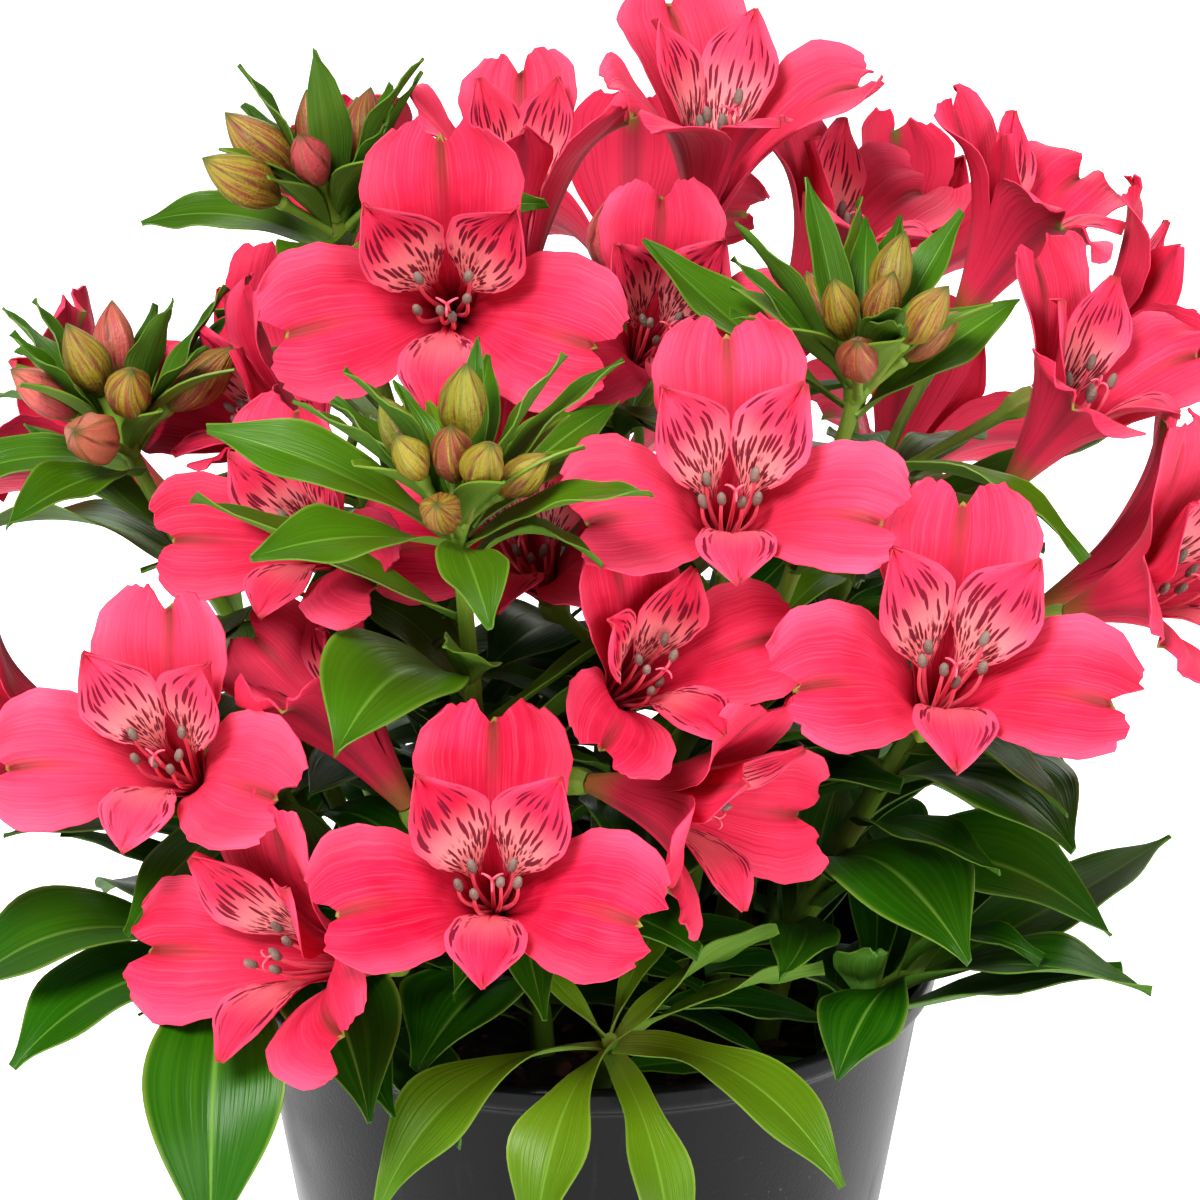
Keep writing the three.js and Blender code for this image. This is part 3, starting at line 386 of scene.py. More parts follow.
def peat_level(x, y, reach):
    """The height of the peat's top, which is lumpy inside and falls off at its edge."""
    edge = max(0, (reach - PEAT_REACH + PEAT_EDGE) / PEAT_EDGE)
    lump = 1.5 * np.sin(x * 0.17 + 2) * np.cos(y * 0.21) + np.sin(y * 0.13 - x * 0.08)
    return SOIL_TOP + lump * (1 - edge) - 3 * edge


def chance(n):
    """A repeatable draw between 0 and 1 for a number, the same as in the part's source."""
    s = math.sin(n * 12.9898 + 4.1) * 43758.5453
    return s - math.floor(s)


def crumb(x, y):
    at = Vector((x * 0.35, y * 0.35, 0))
    return CRUMB_RELIEF * (noise.noise(at) + 0.7 * noise.noise(at * 2.7) + 0.4 * noise.noise(at * 6.1))


def peat_radius(z):
    return wall_radius(z) - POT_WALL - SOIL_GAP - SOIL_SKIN


peat_skin = Growth()
peat_rings = []
turn = -turns(PEAT_SIDES)
squeeze = min(1, peat_radius(SOIL_TOP - 3) / PEAT_REACH)
for r in np.linspace(0.5, PEAT_REACH, PEAT_RINGS):
    x, y = r * np.cos(turn), r * np.sin(turn)
    heights = [crumb(p, q) for p, q in zip(x, y)]
    z = peat_level(x, y, r) + np.array(heights) - 0.4
    peat_rings.append(np.stack([x * squeeze, y * squeeze, z], -1))
peat_rings += [level_ring(peat_radius(z), z, turn) for z in (SOIL_TOP - 6, POT_WALL + SOIL_GAP)]
peat_skin.tube(peat_rings)

for k in range(BARK_BITS):
    reach = BARK_REACH * math.sqrt(chance(k + 0.5))
    swing = 2 * math.pi * chance(2 * k + 700.5)
    x, y = reach * math.cos(swing), reach * math.sin(swing)
    size = 0.5 + 1.7 * chance(3 * k + 90.5) ** 2
    flat = 0.35 + 0.3 * chance(k + 31.5)
    tilt = 2 * math.pi * chance(5 * k + 13.5)
    z = peat_level(x, y, reach) + 0.2
    rings = []
    for level, share in ((-0.6, 0.6), (0.0, 1.0), (0.6, 0.7)):
        turn = turns(6) + level
        wide = size * share * (0.8 + 0.4 * np.array([chance(7 * k + j) for j in range(6)]))
        px, py = 1.6 * wide * np.cos(turn), 0.8 * wide * np.sin(turn)
        lean = 0.5 * (chance(k + 8.5) - 0.5) * px
        at_x = x + px * math.cos(tilt) - py * math.sin(tilt)
        at_y = y + px * math.sin(tilt) + py * math.cos(tilt)
        rings.append(np.stack([at_x, at_y, z + level * flat * size + lean], -1))
    peat_skin.tube(rings, (0, 0, chance(k + 17.5)), (0, 0, 1))

earth = Finish("peat_crumb")
earth_place = earth.place()
earth_draw = earth.mark("blade")[2]
earth_bit = earth.mark("tone")[2]
earth_grain = earth.noise(earth_place, 420.0, 6.0)
earth_cloud = earth.noise(earth_place, 60.0, 3.0)
peat_color = earth.layers(
    earth.mix(earth_grain.rise(0.35, 0.75), (14, 9, 7), (58, 38, 26)),
    (earth_cloud.rise(0.5, 0.8) * 0.5, (38, 25, 18)),
)
bark_color = earth.mix(earth_draw, (40, 22, 14), (118, 76, 44))
bark_color = earth.mix(earth_grain * 0.6, bark_color, (20, 12, 8))
earth.set(Base_Color=earth.mix(earth_bit, peat_color, bark_color), Roughness=0.95)
earth.set(Normal=earth.bump(earth_grain, 0.0012, 0.9))
peat_body = peat_skin.piece("peat_fill", [earth], 60)
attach(peat_body, "root")
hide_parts("peat")


# The layout of the plant, in millimetres, as the part's source has it: each shoot's foot on the peat,
# the top of its stem, and its leaves, whorl, blooms and buds. A bloom is its throat, the way it faces
# as compass angle, rise and roll, how far it is open and its size. A bud ends in length and radius.
STEM_RADIUS = 2.5


def shoot_plan(
    name, seed, foot, head, leaves, whorl=(0,), thick=STEM_RADIUS, young=(), blooms=(), buds=(), own=()
):
    """One shoot with each of its numbers by name. Its own leaves are azimuth, rise, droop, length, width
    and twist."""
    plan = dict(name=name, seed=seed, foot=foot, head=head, thick=thick, own=own)
    plan["leaves"] = dict(zip(("count", "from", "to", "length"), leaves))
    plan["whorl"] = dict(zip(("count", "length", "rise", "droop", "tilt"), whorl))
    plan["young"] = dict(zip(("count", "length", "radius", "spread", "draw"), young))
    plan["blooms"] = [dict(zip(("at", "face", "open", "size"), row)) for row in blooms]
    plan["buds"] = [dict(zip(("at", "face", "length", "radius"), row), size=1) for row in buds]
    return plan


SHOOTS = [
    shoot_plan(
        "front", 1, foot=(-8, -22), head=(-14, -34, 152),
        leaves=(5, 0.4, 0.8, 62), whorl=(1, 40, 20, -25),
        blooms=[
            ((-16, -86, 167), (-91, 38), 1, 1),
            ((-48, -75, 150), (-135, 22), 0.95, 1),
            ((-41, -56, 184), (-165, 57), 0.3, 0.98),
            ((15, -65, 174), (-32, 0), 0.8, 0.95),
        ],
    ),
    shoot_plan(
        "centre", 23, foot=(8, -12), head=(16, -20, 178),
        leaves=(4, 0.4, 0.8, 60), whorl=(4, 38, 20, -20),
        blooms=[
            ((24, -64, 227), (-88, 42), 0.95, 1),
            ((9, -69, 198), (-62, 35, 20), 0.8, 0.9),
            ((-10, -43, 212), (-105, 45), 0.9, 0.95),
        ],
    ),
    shoot_plan(
        "young_front", 3, foot=(-18, -6), head=(-21, -84, 229),
        leaves=(2, 0.5, 0.7, 55), whorl=(6, 44, 30, 2, 50), thick=1.9, young=(6, 13, 3.6, 40, 20),
    ),
    shoot_plan(
        "upper_left", 4, foot=(-20, 8), head=(-24, -8, 206),
        leaves=(4, 0.4, 0.8, 60), whorl=(4, 38, 20, -20),
        blooms=[
            ((-24, -36, 255), (-92, 22), 1, 1.05),
            ((-47, -46, 215), (-118, 28), 0.8, 0.9),
            ((-56, -16, 227), (-150, 35), 0.6, 0.9),
        ],
    ),
    shoot_plan(
        "left", 5, foot=(-30, -12), head=(-56, -28, 162),
        leaves=(5, 0.4, 0.8, 62), whorl=(4, 42, 10, -30),
        blooms=[((-72, -61, 180), (-105, 36), 0.95, 0.98), ((-98, -38, 176), (-160, 20), 0.9, 0.98)],
    ),
    shoot_plan(
        "young_left", 6, foot=(-36, 4), head=(-81, -21, 223),
        leaves=(4, 0.45, 0.78, 50), whorl=(6, 42, 25, -15, 50), thick=1.9, young=(6, 15, 4.2, 60, 6),
    ),
    shoot_plan(
        "young_top_left", 7, foot=(-14, 16), head=(-44, -5, 259),
        leaves=(3, 0.6, 0.88, 46), whorl=(6, 40, 34, 0, 50), thick=1.9, young=(7, 15, 4.2, 58, 7),
    ),
    shoot_plan(
        "top", 8, foot=(2, 10), head=(6, 6, 222),
        leaves=(3, 0.42, 0.8, 55), whorl=(4, 40, 30, 0),
        blooms=[
            ((-12, 0, 264), (-85, 84), 0.4, 1),
            ((23, 6, 272), (-60, 72), 0.75, 1.05),
            ((12, -17, 244), (-75, 35), 0.85, 0.9),
            ((44, 17, 251), (-20, 62), 0.85, 0.95),
        ],
        buds=[((5, -8, 270), (-90, 80), 16, 5.5)],
    ),
    shoot_plan(
        "upper_right", 9, foot=(24, 8), head=(54, 2, 212),
        leaves=(4, 0.4, 0.8, 58), whorl=(4, 38, 20, -10),
        blooms=[
            ((76, 10, 254), (-10, 62), 0.8, 0.95),
            ((97, 12, 235), (0, 35), 0.85, 0.95),
            ((84, -28, 233), (-35, 55), 0.7, 1),
        ],
    ),
    shoot_plan(
        "young_right", 10, foot=(16, -2), head=(46, -44, 240),
        leaves=(2, 0.5, 0.75, 50), whorl=(6, 44, 46, 52, 40), thick=1.9, young=(6, 13, 3.5, 42, 11),
    ),
    shoot_plan(
        "right", 11, foot=(32, -16), head=(60, -26, 176),
        leaves=(5, 0.35, 0.8, 66), whorl=(4, 44, 10, -20),
        blooms=[((60, -75, 200), (-84, 42, -8), 1, 1.04), ((99, -37, 204), (-35, 28), 0.9, 1)],
        buds=[((37, -57, 197), (-100, 20), 12, 4.5)],
    ),
    shoot_plan(
        "back_left", 12, foot=(-22, 28), head=(-44, 42, 196),
        leaves=(5, 0.35, 0.8, 62), whorl=(4, 42, 10, -20),
        blooms=[
            ((-60, 89, 202), (115, 34), 1, 1),
            ((-94, 36, 206), (165, 30), 0.9, 1),
            ((-46, 54, 244), (115, 50), 0.8, 0.95),
        ],
    ),
    shoot_plan(
        "back", 13, foot=(4, 34), head=(6, 48, 196),
        leaves=(4, 0.35, 0.8, 60), whorl=(4, 42, 10, -20),
        blooms=[((2, 98, 189), (92, 34), 1, 1), ((8, 66, 240), (88, 40), 0.9, 0.95)],
    ),
    shoot_plan(
        "back_right", 14, foot=(28, 22), head=(50, 36, 188),
        leaves=(5, 0.35, 0.8, 62), whorl=(4, 42, 10, -20),
        blooms=[
            ((64, 81, 195), (62, 32), 0.95, 1),
            ((103, 27, 187), (10, 25), 0.9, 1),
            ((60, 52, 240), (50, 45), 0.7, 0.95),
        ],
    ),
    shoot_plan(
        "low_front", 15, foot=(2, -44), head=(4, -62, 128),
        leaves=(0, 0.5, 0.9, 50), thick=2,
        own=[
            (-150, 15, -62, 62, 15, 20),
            (-110, 10, -78, 64, 14, -30),
            (-72, 12, -72, 66, 14, 30),
            (-36, 18, -50, 60, 16, -20),
            (8, 30, 5, 40, 9, 60),
            (50, 50, 20, 36, 8, 40),
            (100, 60, 20, 34, 8, 40),
            (150, 45, 20, 36, 9, -40),
            (-175, 30, -10, 44, 12, -40),
        ],
    ),
    shoot_plan(
        "low_left", 16, foot=(-38, -28), head=(-64, -50, 140),
        leaves=(3, 0.55, 0.9, 60), thick=2,
        own=[
            (-125, 5, -80, 74, 24, 0),
            (-160, 10, -45, 66, 20, 0),
            (165, 15, -30, 62, 18, 0),
            (-76, 5, -78, 78, 22, 10),
            (-30, 5, -60, 60, 20, 0),
        ],
    ),
    shoot_plan(
        "low_right", 17, foot=(42, -26), head=(58, -36, 130),
        leaves=(2, 0.6, 0.9, 55), thick=2,
        own=[
            (15, 8, 22, 62, 22, 0),
            (-25, 40, 35, 64, 18, 0),
            (-70, 0, -55, 34, 14, 0),
            (55, 20, -5, 50, 16, 0),
        ],
    ),
    shoot_plan(
        "low_back_left", 18, foot=(-32, 34), head=(-48, 54, 140),
        leaves=(3, 0.6, 0.9, 62), whorl=(5, 58, 12, -55), thick=2,
    ),
    shoot_plan(
        "low_back_right", 19, foot=(34, 32), head=(52, 52, 140),
        leaves=(3, 0.6, 0.9, 62), whorl=(5, 58, 12, -55), thick=2,
    ),
]

BLOOMS = [bloom for shoot in SHOOTS for bloom in shoot["blooms"]]
BUDS = [bud for shoot in SHOOTS for bud in shoot["buds"]]
for number, bloom in enumerate(BLOOMS, 1):
    bloom.update(seed=number, label=f"bloom_{number:02d}")
for number, bud in enumerate(BUDS, 1):
    bud["label"] = f"bud_{number}"


# The stems: round, juicy and upright, with a slight swelling at every leaf. At their tops pedicels
# spread out, and each ends in the ribbed ovary under its bloom.
STEM_SIDES = 16
STEM_RINGS = 60
STEM_DEPTH = 18
NODE_SWELL = 0.14
NODE_REACH = 0.012
HALF_BAND = 1.2
PEDICEL_RADIUS = 1.1
PEDICEL_SIDES = 24
OVARY_LENGTH = 8
THROAT = 18
GAP = 0.3


def heading(azimuth, rise):
    """A direction from its compass angle and its rise, in degrees."""
    a, e = np.radians(azimuth), np.radians(rise)
    return np.stack(np.broadcast_arrays(np.cos(a) * np.cos(e), np.sin(a) * np.cos(e), np.sin(e)), -1)


def unit(rows):
    return rows / np.linalg.norm(rows, axis=-1, keepdims=True)


def cubic(controls, t):
    """The points of a cubic curve at each t."""
    p = [np.asarray(one, float) for one in controls]
    t = np.asarray(t, float)[..., None]
    s = 1 - t
    return s**3 * p[0] + 3 * s * s * t * p[1] + 3 * s * t * t * p[2] + t**3 * p[3]


def lengths_of(line):
    points = cubic(line, np.linspace(0, 1, 201))
    return np.concatenate([[0], np.cumsum(np.linalg.norm(np.diff(points, axis=0), axis=1))])


def cubic_at(line, shares):
    """The points at the given shares of a curve's length."""
    run = lengths_of(line)
    return cubic(line, np.interp(np.asarray(shares) * run[-1], run, np.linspace(0, 1, 201)))


def rings_round(points, radii, sides, hint):
    """Rings of corners round a line; hint is the way in which each ring starts."""
    start = np.asarray(hint, float)
    turn = 2 * np.pi * (np.arange(sides) - 0.5) / sides
    rings = []
    for i, p in enumerate(points):
        ahead = unit(points[min(i + 1, len(points) - 1)] - points[max(i - 1, 0)])
        start = unit(start - ahead * (start @ ahead))
        beside = np.cross(ahead, start)
        radius = np.broadcast_to(radii[i], sides)[:, None]
        rings.append(p + radius * (np.cos(turn)[:, None] * start + np.sin(turn)[:, None] * beside))
    return np.array(rings)


def stem_line(shoot):
    x, y = shoot["foot"]
    hx, hy, hz = shoot["head"]
    rise = hz - SOIL_TOP
    dx, dy = hx - x, hy - y
    bend = (hx - 0.35 * dx, hy - 0.35 * dy, hz - 0.35 * rise)
    return [(x, y, SOIL_TOP - STEM_DEPTH), (x, y, SOIL_TOP + 0.35 * rise), bend, (hx, hy, hz)]


def stem_radius(shoot, t):
    return shoot["thick"] * (1 - 0.3 * t)


def stem_stations(shoot):
    length = lengths_of(stem_line(shoot))[-1]
    half = HALF_BAND / length
    count, first = shoot["leaves"]["count"], shoot["leaves"]["from"]
    last = min(shoot["leaves"]["to"], 1 - 6 * half)
    levels = [first + (last - first) * k / max(1, count - 1) for k in range(count)]
    bands = [t + d for t in levels for d in (-half, half)]
    return [0, (STEM_DEPTH + 4) / length, *bands, 1 - 4 * half, 1 - 2 * half, 1], levels


class Stalk:
    """The six-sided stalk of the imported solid: its side faces, and which of them carry a branch."""

    def __init__(self, rings):
        self.rings = rings
        self.taken = set()

    def facet(self, level, way):
        best, most = None, -2
        for side in range(6):
            low, high = self.rings[level], self.rings[level + 1]
            a, b, c, d = low[side], low[(side + 1) % 6], high[(side + 1) % 6], high[side]
            facing = unit(np.cross(b - a, d - a)) @ way
            if facing > most and (level, side) not in self.taken:
                axis = unit(d - a)
                out = unit(np.cross(b - a, axis))
                best, most = ((level, side), (a + b + c + d) / 4, axis, out), facing
        self.taken.add(best[0])
        return best


def eased(t, knots, values):
    """A run of values through knots with no corners."""
    i = np.clip(np.searchsorted(knots, t, side="right") - 1, 0, len(knots) - 2)
    knots, values = np.asarray(knots, float), np.asarray(values, float)
    s = np.clip((t - knots[i]) / (knots[i + 1] - knots[i]), 0, 1)
    return values[i] + (values[i + 1] - values[i]) * s * s * (3 - 2 * s)


def grow_pedicel(skin, facet, bloom, young):
    middle, axis, out = facet[1:]
    mouth = heading(*bloom["face"][:2])
    base = np.array(bloom["at"]) - mouth * (THROAT * bloom["size"] + GAP)
    reach = np.linalg.norm(base - middle)
    line = [middle, middle + (out + axis) * 0.2 * reach, base - mouth * 0.4 * reach, base]
    length = lengths_of(line)[-1]
    ovary = min(0.5, OVARY_LENGTH / length)
    knots = [0, 3 / length, 0.55 * (1 - ovary), 1 - ovary, 1 - ovary * 0.5, 1 - ovary * 0.2, 1]
    thick = [1.25, PEDICEL_RADIUS, PEDICEL_RADIUS * 0.95, 1.3, 2.6, 2.5, 1.9]
    turn = turns(PEDICEL_SIDES)
    shares = np.concatenate([np.linspace(0, 1 - ovary, 18), np.linspace(1 - ovary, 1, 14)[1:]])
    swell = eased(shares, [0, 1 - ovary, 1 - ovary * 0.55, 1], [0, 0, 0.11, 0.06])
    radii = eased(shares, knots, thick)[:, None] * (1 + swell[:, None] * np.cos(6 * turn))
    places = cubic_at([middle - out * 0.6, *line[1:]], shares)
    rings = rings_round(places, radii, PEDICEL_SIDES, axis)
    blade = (np.cos(6 * turn), shares[:, None], chance(bloom.get("seed", 40) + 3.5))
    skin.tube(rings, blade, (swell[:, None] * 9, young, 0), rooted=True)


def grow_stem(skin, shoot, levels, young):
    line = stem_line(shoot)
    shares = np.linspace(0, 1, STEM_RINGS)
    radii = np.array([stem_radius(shoot, t) for t in shares])
    for level in [*levels, 0.985]:
        radii = radii * (1 + NODE_SWELL * np.exp(-(((shares - level) / NODE_REACH) ** 2)))
    ribs = np.cos(5 * turns(STEM_SIDES) + shoot["seed"])
    rings = rings_round(cubic(line, shares), radii[:, None] * (1 + 0.035 * ribs), STEM_SIDES, (0, -1, 0))
    skin.tube(rings, (ribs, shares[:, None], chance(shoot["seed"] + 0.25)), (0, young, 0))


stem_finish = Finish("juicy_stem")
stem_across, stem_along, stem_draw = stem_finish.mark("blade")
stem_ovary, stem_young = stem_finish.mark("tone")[:2]
stem_streak = stem_finish.noise(stem_finish.join(stem_across * 3, stem_along * 2, stem_draw * 50), 2.0, 3.0)
stem_cloud = stem_finish.noise(stem_finish.place(), 90.0, 3.0)
stem_color = stem_finish.layers(
    stem_finish.mix(stem_cloud, (84, 122, 24), (128, 156, 48)),
    (stem_young * 0.7, (140, 166, 66)),
    (stem_streak.rise(0.5, 0.75) * 0.4, (160, 178, 96)),
    ((stem_cloud + stem_draw * 0.2).rise(0.62, 0.8) * 0.35, (126, 62, 60)),
    (stem_across.rise(0.2, 0.95) * stem_ovary * 0.5, (150, 140, 66)),
)
stem_finish.set(Base_Color=stem_color, Roughness=0.42 + stem_cloud * 0.15)
stem_finish.set(Normal=stem_finish.bump(stem_streak, 0.0004, 0.5))


# The leaves: long, pointed, parallel-veined blades on a short foot, glossy above and duller below. The
# large ones grow from side faces of their stems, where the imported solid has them, and small ones fill
# the stems between them wherever nothing stands in their way.
SOLID_LEAF_THICKNESS = 0.8
LEAF_THICKNESS = 0.5
LEAF_BREADTH = 1.22
YOUNG_BREADTH = 0.82
TOP_BREADTH = 1.06
TURNS = (0, 15, -15, 30, -30, 45, -45, 60, -60)
LIFTS = (0, 14, -14, 28)
SHORT_LEAF = 48
FIT_LIMIT = 0.03
LEAF_CELLS = (29, 10)
SMALL_LEAF_CELLS = (16, 6)
PROBE_CELLS = (9, 4)
PROBE_START = 0.14
SMALL_LEAVES = 11
LEAF_TRIES = 12
STRAP = 0.45


def leaves_of(shoot):
    dx, dy = shoot["head"][0] - shoot["foot"][0], shoot["head"][1] - shoot["foot"][1]
    outward = math.degrees(math.atan2(dy, dx))
    count, length = shoot["leaves"]["count"], shoot["leaves"]["length"]
    whorl = shoot["whorl"]

    def draw(k):
        return chance(shoot["seed"] * 29 + k)

    leaves = []
    for k in range(count):
        leaf = dict(level=2 * k + 2, azimuth=outward + 110 * (2 * ((k * 0.618 + draw(0)) % 1) - 1))
        leaf |= dict(rise=48 - 20 * draw(k + 1), droop=-5 - 45 * draw(k + 2), swing=40 * (draw(k + 3) - 0.5))
        leaf |= dict(length=length * (0.85 + 0.3 * draw(k + 4)), width=length * (0.29 + 0.07 * draw(k + 5)))
        leaf |= dict(twist=50 * (draw(k + 6) - 0.5), keel=0.25, wave=1.2, phase=6 * draw(k + 7))
        leaves.append(leaf)
    for k in range(whorl["count"]):
        azimuth = 60 * math.floor(6 * k / whorl["count"] + 0.5) - 90 + 30 * (draw(50 + k) - 0.5)
        tilt = whorl.get("tilt", 0)
        width = whorl["length"] * (0.25 + 0.05 * draw(100 + k)) * (1.15 if tilt else 1)
        twist = 40 * (draw(110 + k) - 0.5) - tilt * math.cos(math.radians(azimuth))
        leaf = dict(level=2 * count + 2, azimuth=azimuth, rise=whorl["rise"] + 16 * (draw(60 + k) - 0.5))
        leaf |= dict(droop=whorl["droop"] + 24 * (draw(70 + k) - 0.5), swing=30 * (draw(80 + k) - 0.5))
        leaf |= dict(length=whorl["length"] * (0.8 + 0.4 * draw(90 + k)), width=width, twist=twist)
        leaves.append(leaf | dict(keel=0.3, wave=0.8, phase=6 * draw(120 + k)))
    for k, row in enumerate(shoot["own"]):
        leaf = dict(zip(("azimuth", "rise", "droop", "length", "width", "twist"), row))
        leaf["level"] = 2 * count + 2 + (0 if shoot["blooms"] else k % 2)
        leaves.append(leaf | dict(swing=0, keel=0.2, wave=1.5, phase=6 * draw(130 + k)))
    return leaves


def leaf_places(leaf, u, v):
    """A leaf's surface: an arched middle line from its root, a tapering foot, a keel and a slow turn."""
    u, v = np.broadcast_arrays(np.asarray(u, float), np.asarray(v, float))
    w = u[..., None]
    root = leaf["root"]
    elbow = root + heading(leaf["azimuth"], leaf["rise"]) * leaf["length"] / 2
    tip = elbow + heading(leaf["azimuth"] + leaf["swing"], leaf["droop"]) * leaf["length"] / 2
    centre = root * (1 - w) ** 2 + elbow * 2 * w * (1 - w) + tip * w * w
    ahead = unit((elbow - root) * (1 - w) + (tip - elbow) * w)
    flat = heading(leaf["azimuth"] + leaf["swing"] * u - 90, 0 * u)
    up = unit(np.cross(flat, ahead))
    side = np.cross(ahead, up)
    turn = np.radians(leaf["twist"]) * u
    arch = np.maximum(0, np.sin(np.pi * u**1.2)) ** 1.3
    s = ((leaf["width"] / 2) * (0.16 * (1 - u) + 0.95 * arch) + 0.35) * v
    s = s * (1 - leaf.get("strap", 0) * np.exp(-(((u - 0.3) / 0.22) ** 2)))
    lift = leaf["keel"] * np.abs(s) + leaf["wave"] * v * np.sin(6 * u + leaf["phase"])
    lift = lift + leaf.get("crimp", 0) * u * np.abs(v) ** 3 * np.sin(19 * u + 5 * np.sign(v) + leaf["phase"])
    along_side = (s * np.cos(turn) - lift * np.sin(turn))[..., None]
    along_up = (s * np.sin(turn) + lift * np.cos(turn))[..., None]
    return centre + side * along_side + up * along_up


def leaf_in_solid(leaf, facet, corners):
    """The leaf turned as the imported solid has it, or None: its corners lie half a blade off its surface."""
    stations = (0.27, 0.6) if leaf["length"] > SHORT_LEAF else (0.45,)
    for lift in LIFTS:
        for turn in TURNS:
            tried = dict(leaf, root=facet[1])
            tried["azimuth"] += turn
            tried["rise"] += lift
            tried["droop"] += lift
            points = leaf_places(tried, np.repeat(stations, 2), np.tile([-1, 1], len(stations)))
            if all(abs(corners.find(p)[2] - SOLID_LEAF_THICKNESS / 2) < FIT_LIMIT for p in points):
                return tried
    return None


def sheet(skin, places, blade, tone, thickness, look):
    """A thin closed blade over a grid of places; the margin is thinner than the middle."""
    du = np.gradient(places, axis=0)
    dv = np.gradient(places, axis=1)
    normal = np.cross(dv, du)
    normal /= np.maximum(np.linalg.norm(normal, axis=-1, keepdims=True), 1e-9)
    half = normal * (np.asarray(thickness) / 2)
    front = skin.points(places + half, blade, tone)
    back = skin.points(places - half, blade, (0, *tone[1:]))
    skin.quads(front, look)
    skin.quads(back, look, True)
    margins = [(grid[0, :-1], grid[:-1, -1], grid[-1, :0:-1], grid[:0:-1, 0]) for grid in (back, front)]
    edge = np.stack([np.concatenate(margin) for margin in margins])
    skin.quads(np.concatenate([edge, edge[:, :1]], 1), look)


def blade_grid(cells, start=0):
    """How far along and across a blade each corner of its grid lies."""
    along = np.linspace(start, 1, cells[0] + 1)[:, None] + np.zeros(cells[1] + 1)
    across = np.linspace(-1, 1, cells[1] + 1)[None, :] + np.zeros((cells[0] + 1, 1))
    return along, across


def small_leaf(shoot, k, tried):
    """One of the small leaves that stand between the large ones, at one of its tries."""

    def draw(n):
        return chance(shoot["seed"] * 211 + 13 * k + 1.7 * tried + n + 0.35)

    length = 34 + 24 * draw(1)
    leaf = dict(root=cubic_at(stem_line(shoot), [0.3 + 0.64 * (k + draw(0)) / SMALL_LEAVES])[0])
    leaf |= dict(azimuth=137.5 * k + 90 * draw(2), rise=62 - 50 * draw(3), droop=30 - 75 * draw(4))
    leaf |= dict(length=length, width=length * (0.2 + 0.06 * draw(5)), swing=50 * (draw(6) - 0.5))
    leaf |= dict(twist=60 * (draw(7) - 0.5), keel=0.3, wave=0.9, phase=6 * draw(8))
    return leaf


def leaf_probe(leaf):
    """The plain sheet, without its rooted end, by which a small leaf is tried against what stands there."""
    places = leaf_places(leaf, *blade_grid(PROBE_CELLS, PROBE_START))
    probe = Growth()
    probe.quads(probe.points(places))
    return BVHTree.FromPolygons(np.concatenate(probe.places).tolist(), probe.faces)


def grow_leaf(skin, leaf, young, seed, breadth, strap=0, cells=LEAF_CELLS, look=1):
    u, v = blade_grid(cells)
    places = leaf_places(dict(leaf, width=leaf["width"] * breadth, crimp=0.7, strap=strap), u, v)
    thickness = (LEAF_THICKNESS * (1 - 0.45 * v * v) * (1.7 - 0.7 * np.minimum(1, u * 5)))[..., None]
    sheet(skin, places, (v, u, chance(seed)), (1, young * (1 - 0.6 * u), 0), thickness, look)


def fit_leaf(skin, crossed, tries, young, seed, look):
    """Grows the first of the leaves tried that crosses nothing that stands round it, if there is one."""
    for leaf in tries:
        probe = leaf_probe(leaf)
        if not any(probe.overlap(other) for other in crossed):
            crossed.append(probe)
            grow_leaf(skin, leaf, young, seed, 1, 0, SMALL_LEAF_CELLS, look)
            return


leaf_finish = Finish("leaf_blade")
leaf_across, leaf_along, leaf_draw = leaf_finish.mark("blade")
leaf_side, leaf_young = leaf_finish.mark("tone")[:2]
leaf_reach = abs(leaf_across)
leaf_vein_at = leaf_finish.join(leaf_across * 9, leaf_along * 0.7, leaf_draw * 60)
leaf_vein = leaf_finish.noise(leaf_vein_at, 1.6, 3.0)
leaf_line = leaf_vein.rise(0.42, 0.66)
leaf_cloud = leaf_finish.noise(leaf_finish.place(), 45.0, 3.0)
leaf_front = leaf_finish.layers(
    leaf_finish.mix(leaf_draw, (17, 68, 2), (58, 108, 7)),
    (leaf_along.rise(0.1, 0.9) * 0.45, (13, 60, 3)),
    (leaf_cloud.rise(0.35, 0.75) * 0.6, (38, 96, 7)),
    (leaf_young * 0.85, (124, 152, 30)),
    (leaf_line * 0.12, (92, 142, 34)),
    (leaf_reach.rise(0.07, 0.0) * 0.45, (128, 168, 72)),
    (leaf_reach.rise(0.9, 1.0) * 0.55, (128, 150, 62)),
    (leaf_along.rise(0.22, 0.0) * 0.6, (146, 168, 80)),
)
leaf_back = leaf_finish.mix(leaf_line * 0.5, (58, 98, 22), (92, 124, 44))
leaf_back = leaf_finish.mix(leaf_young * 0.6, leaf_back, (134, 158, 64))
leaf_color = leaf_finish.mix(leaf_side, leaf_back, leaf_front)
leaf_finish.set(Base_Color=leaf_color, Roughness=0.58 - leaf_side * 0.26 + leaf_cloud * 0.08)
leaf_finish.set(Normal=leaf_finish.bump(leaf_vein + leaf_cloud * 0.4, 0.0006, 0.4), Specular_IOR_Level=0.22)

# How young the green of a shoot looks. The others are full grown.
YOUNG_SHOOTS = {"low_front": 0.75, "young_front": 0.45, "young_left": 0.3}
YOUNG_SHOOTS |= {"young_top_left": 0.4, "young_right": 0.5}
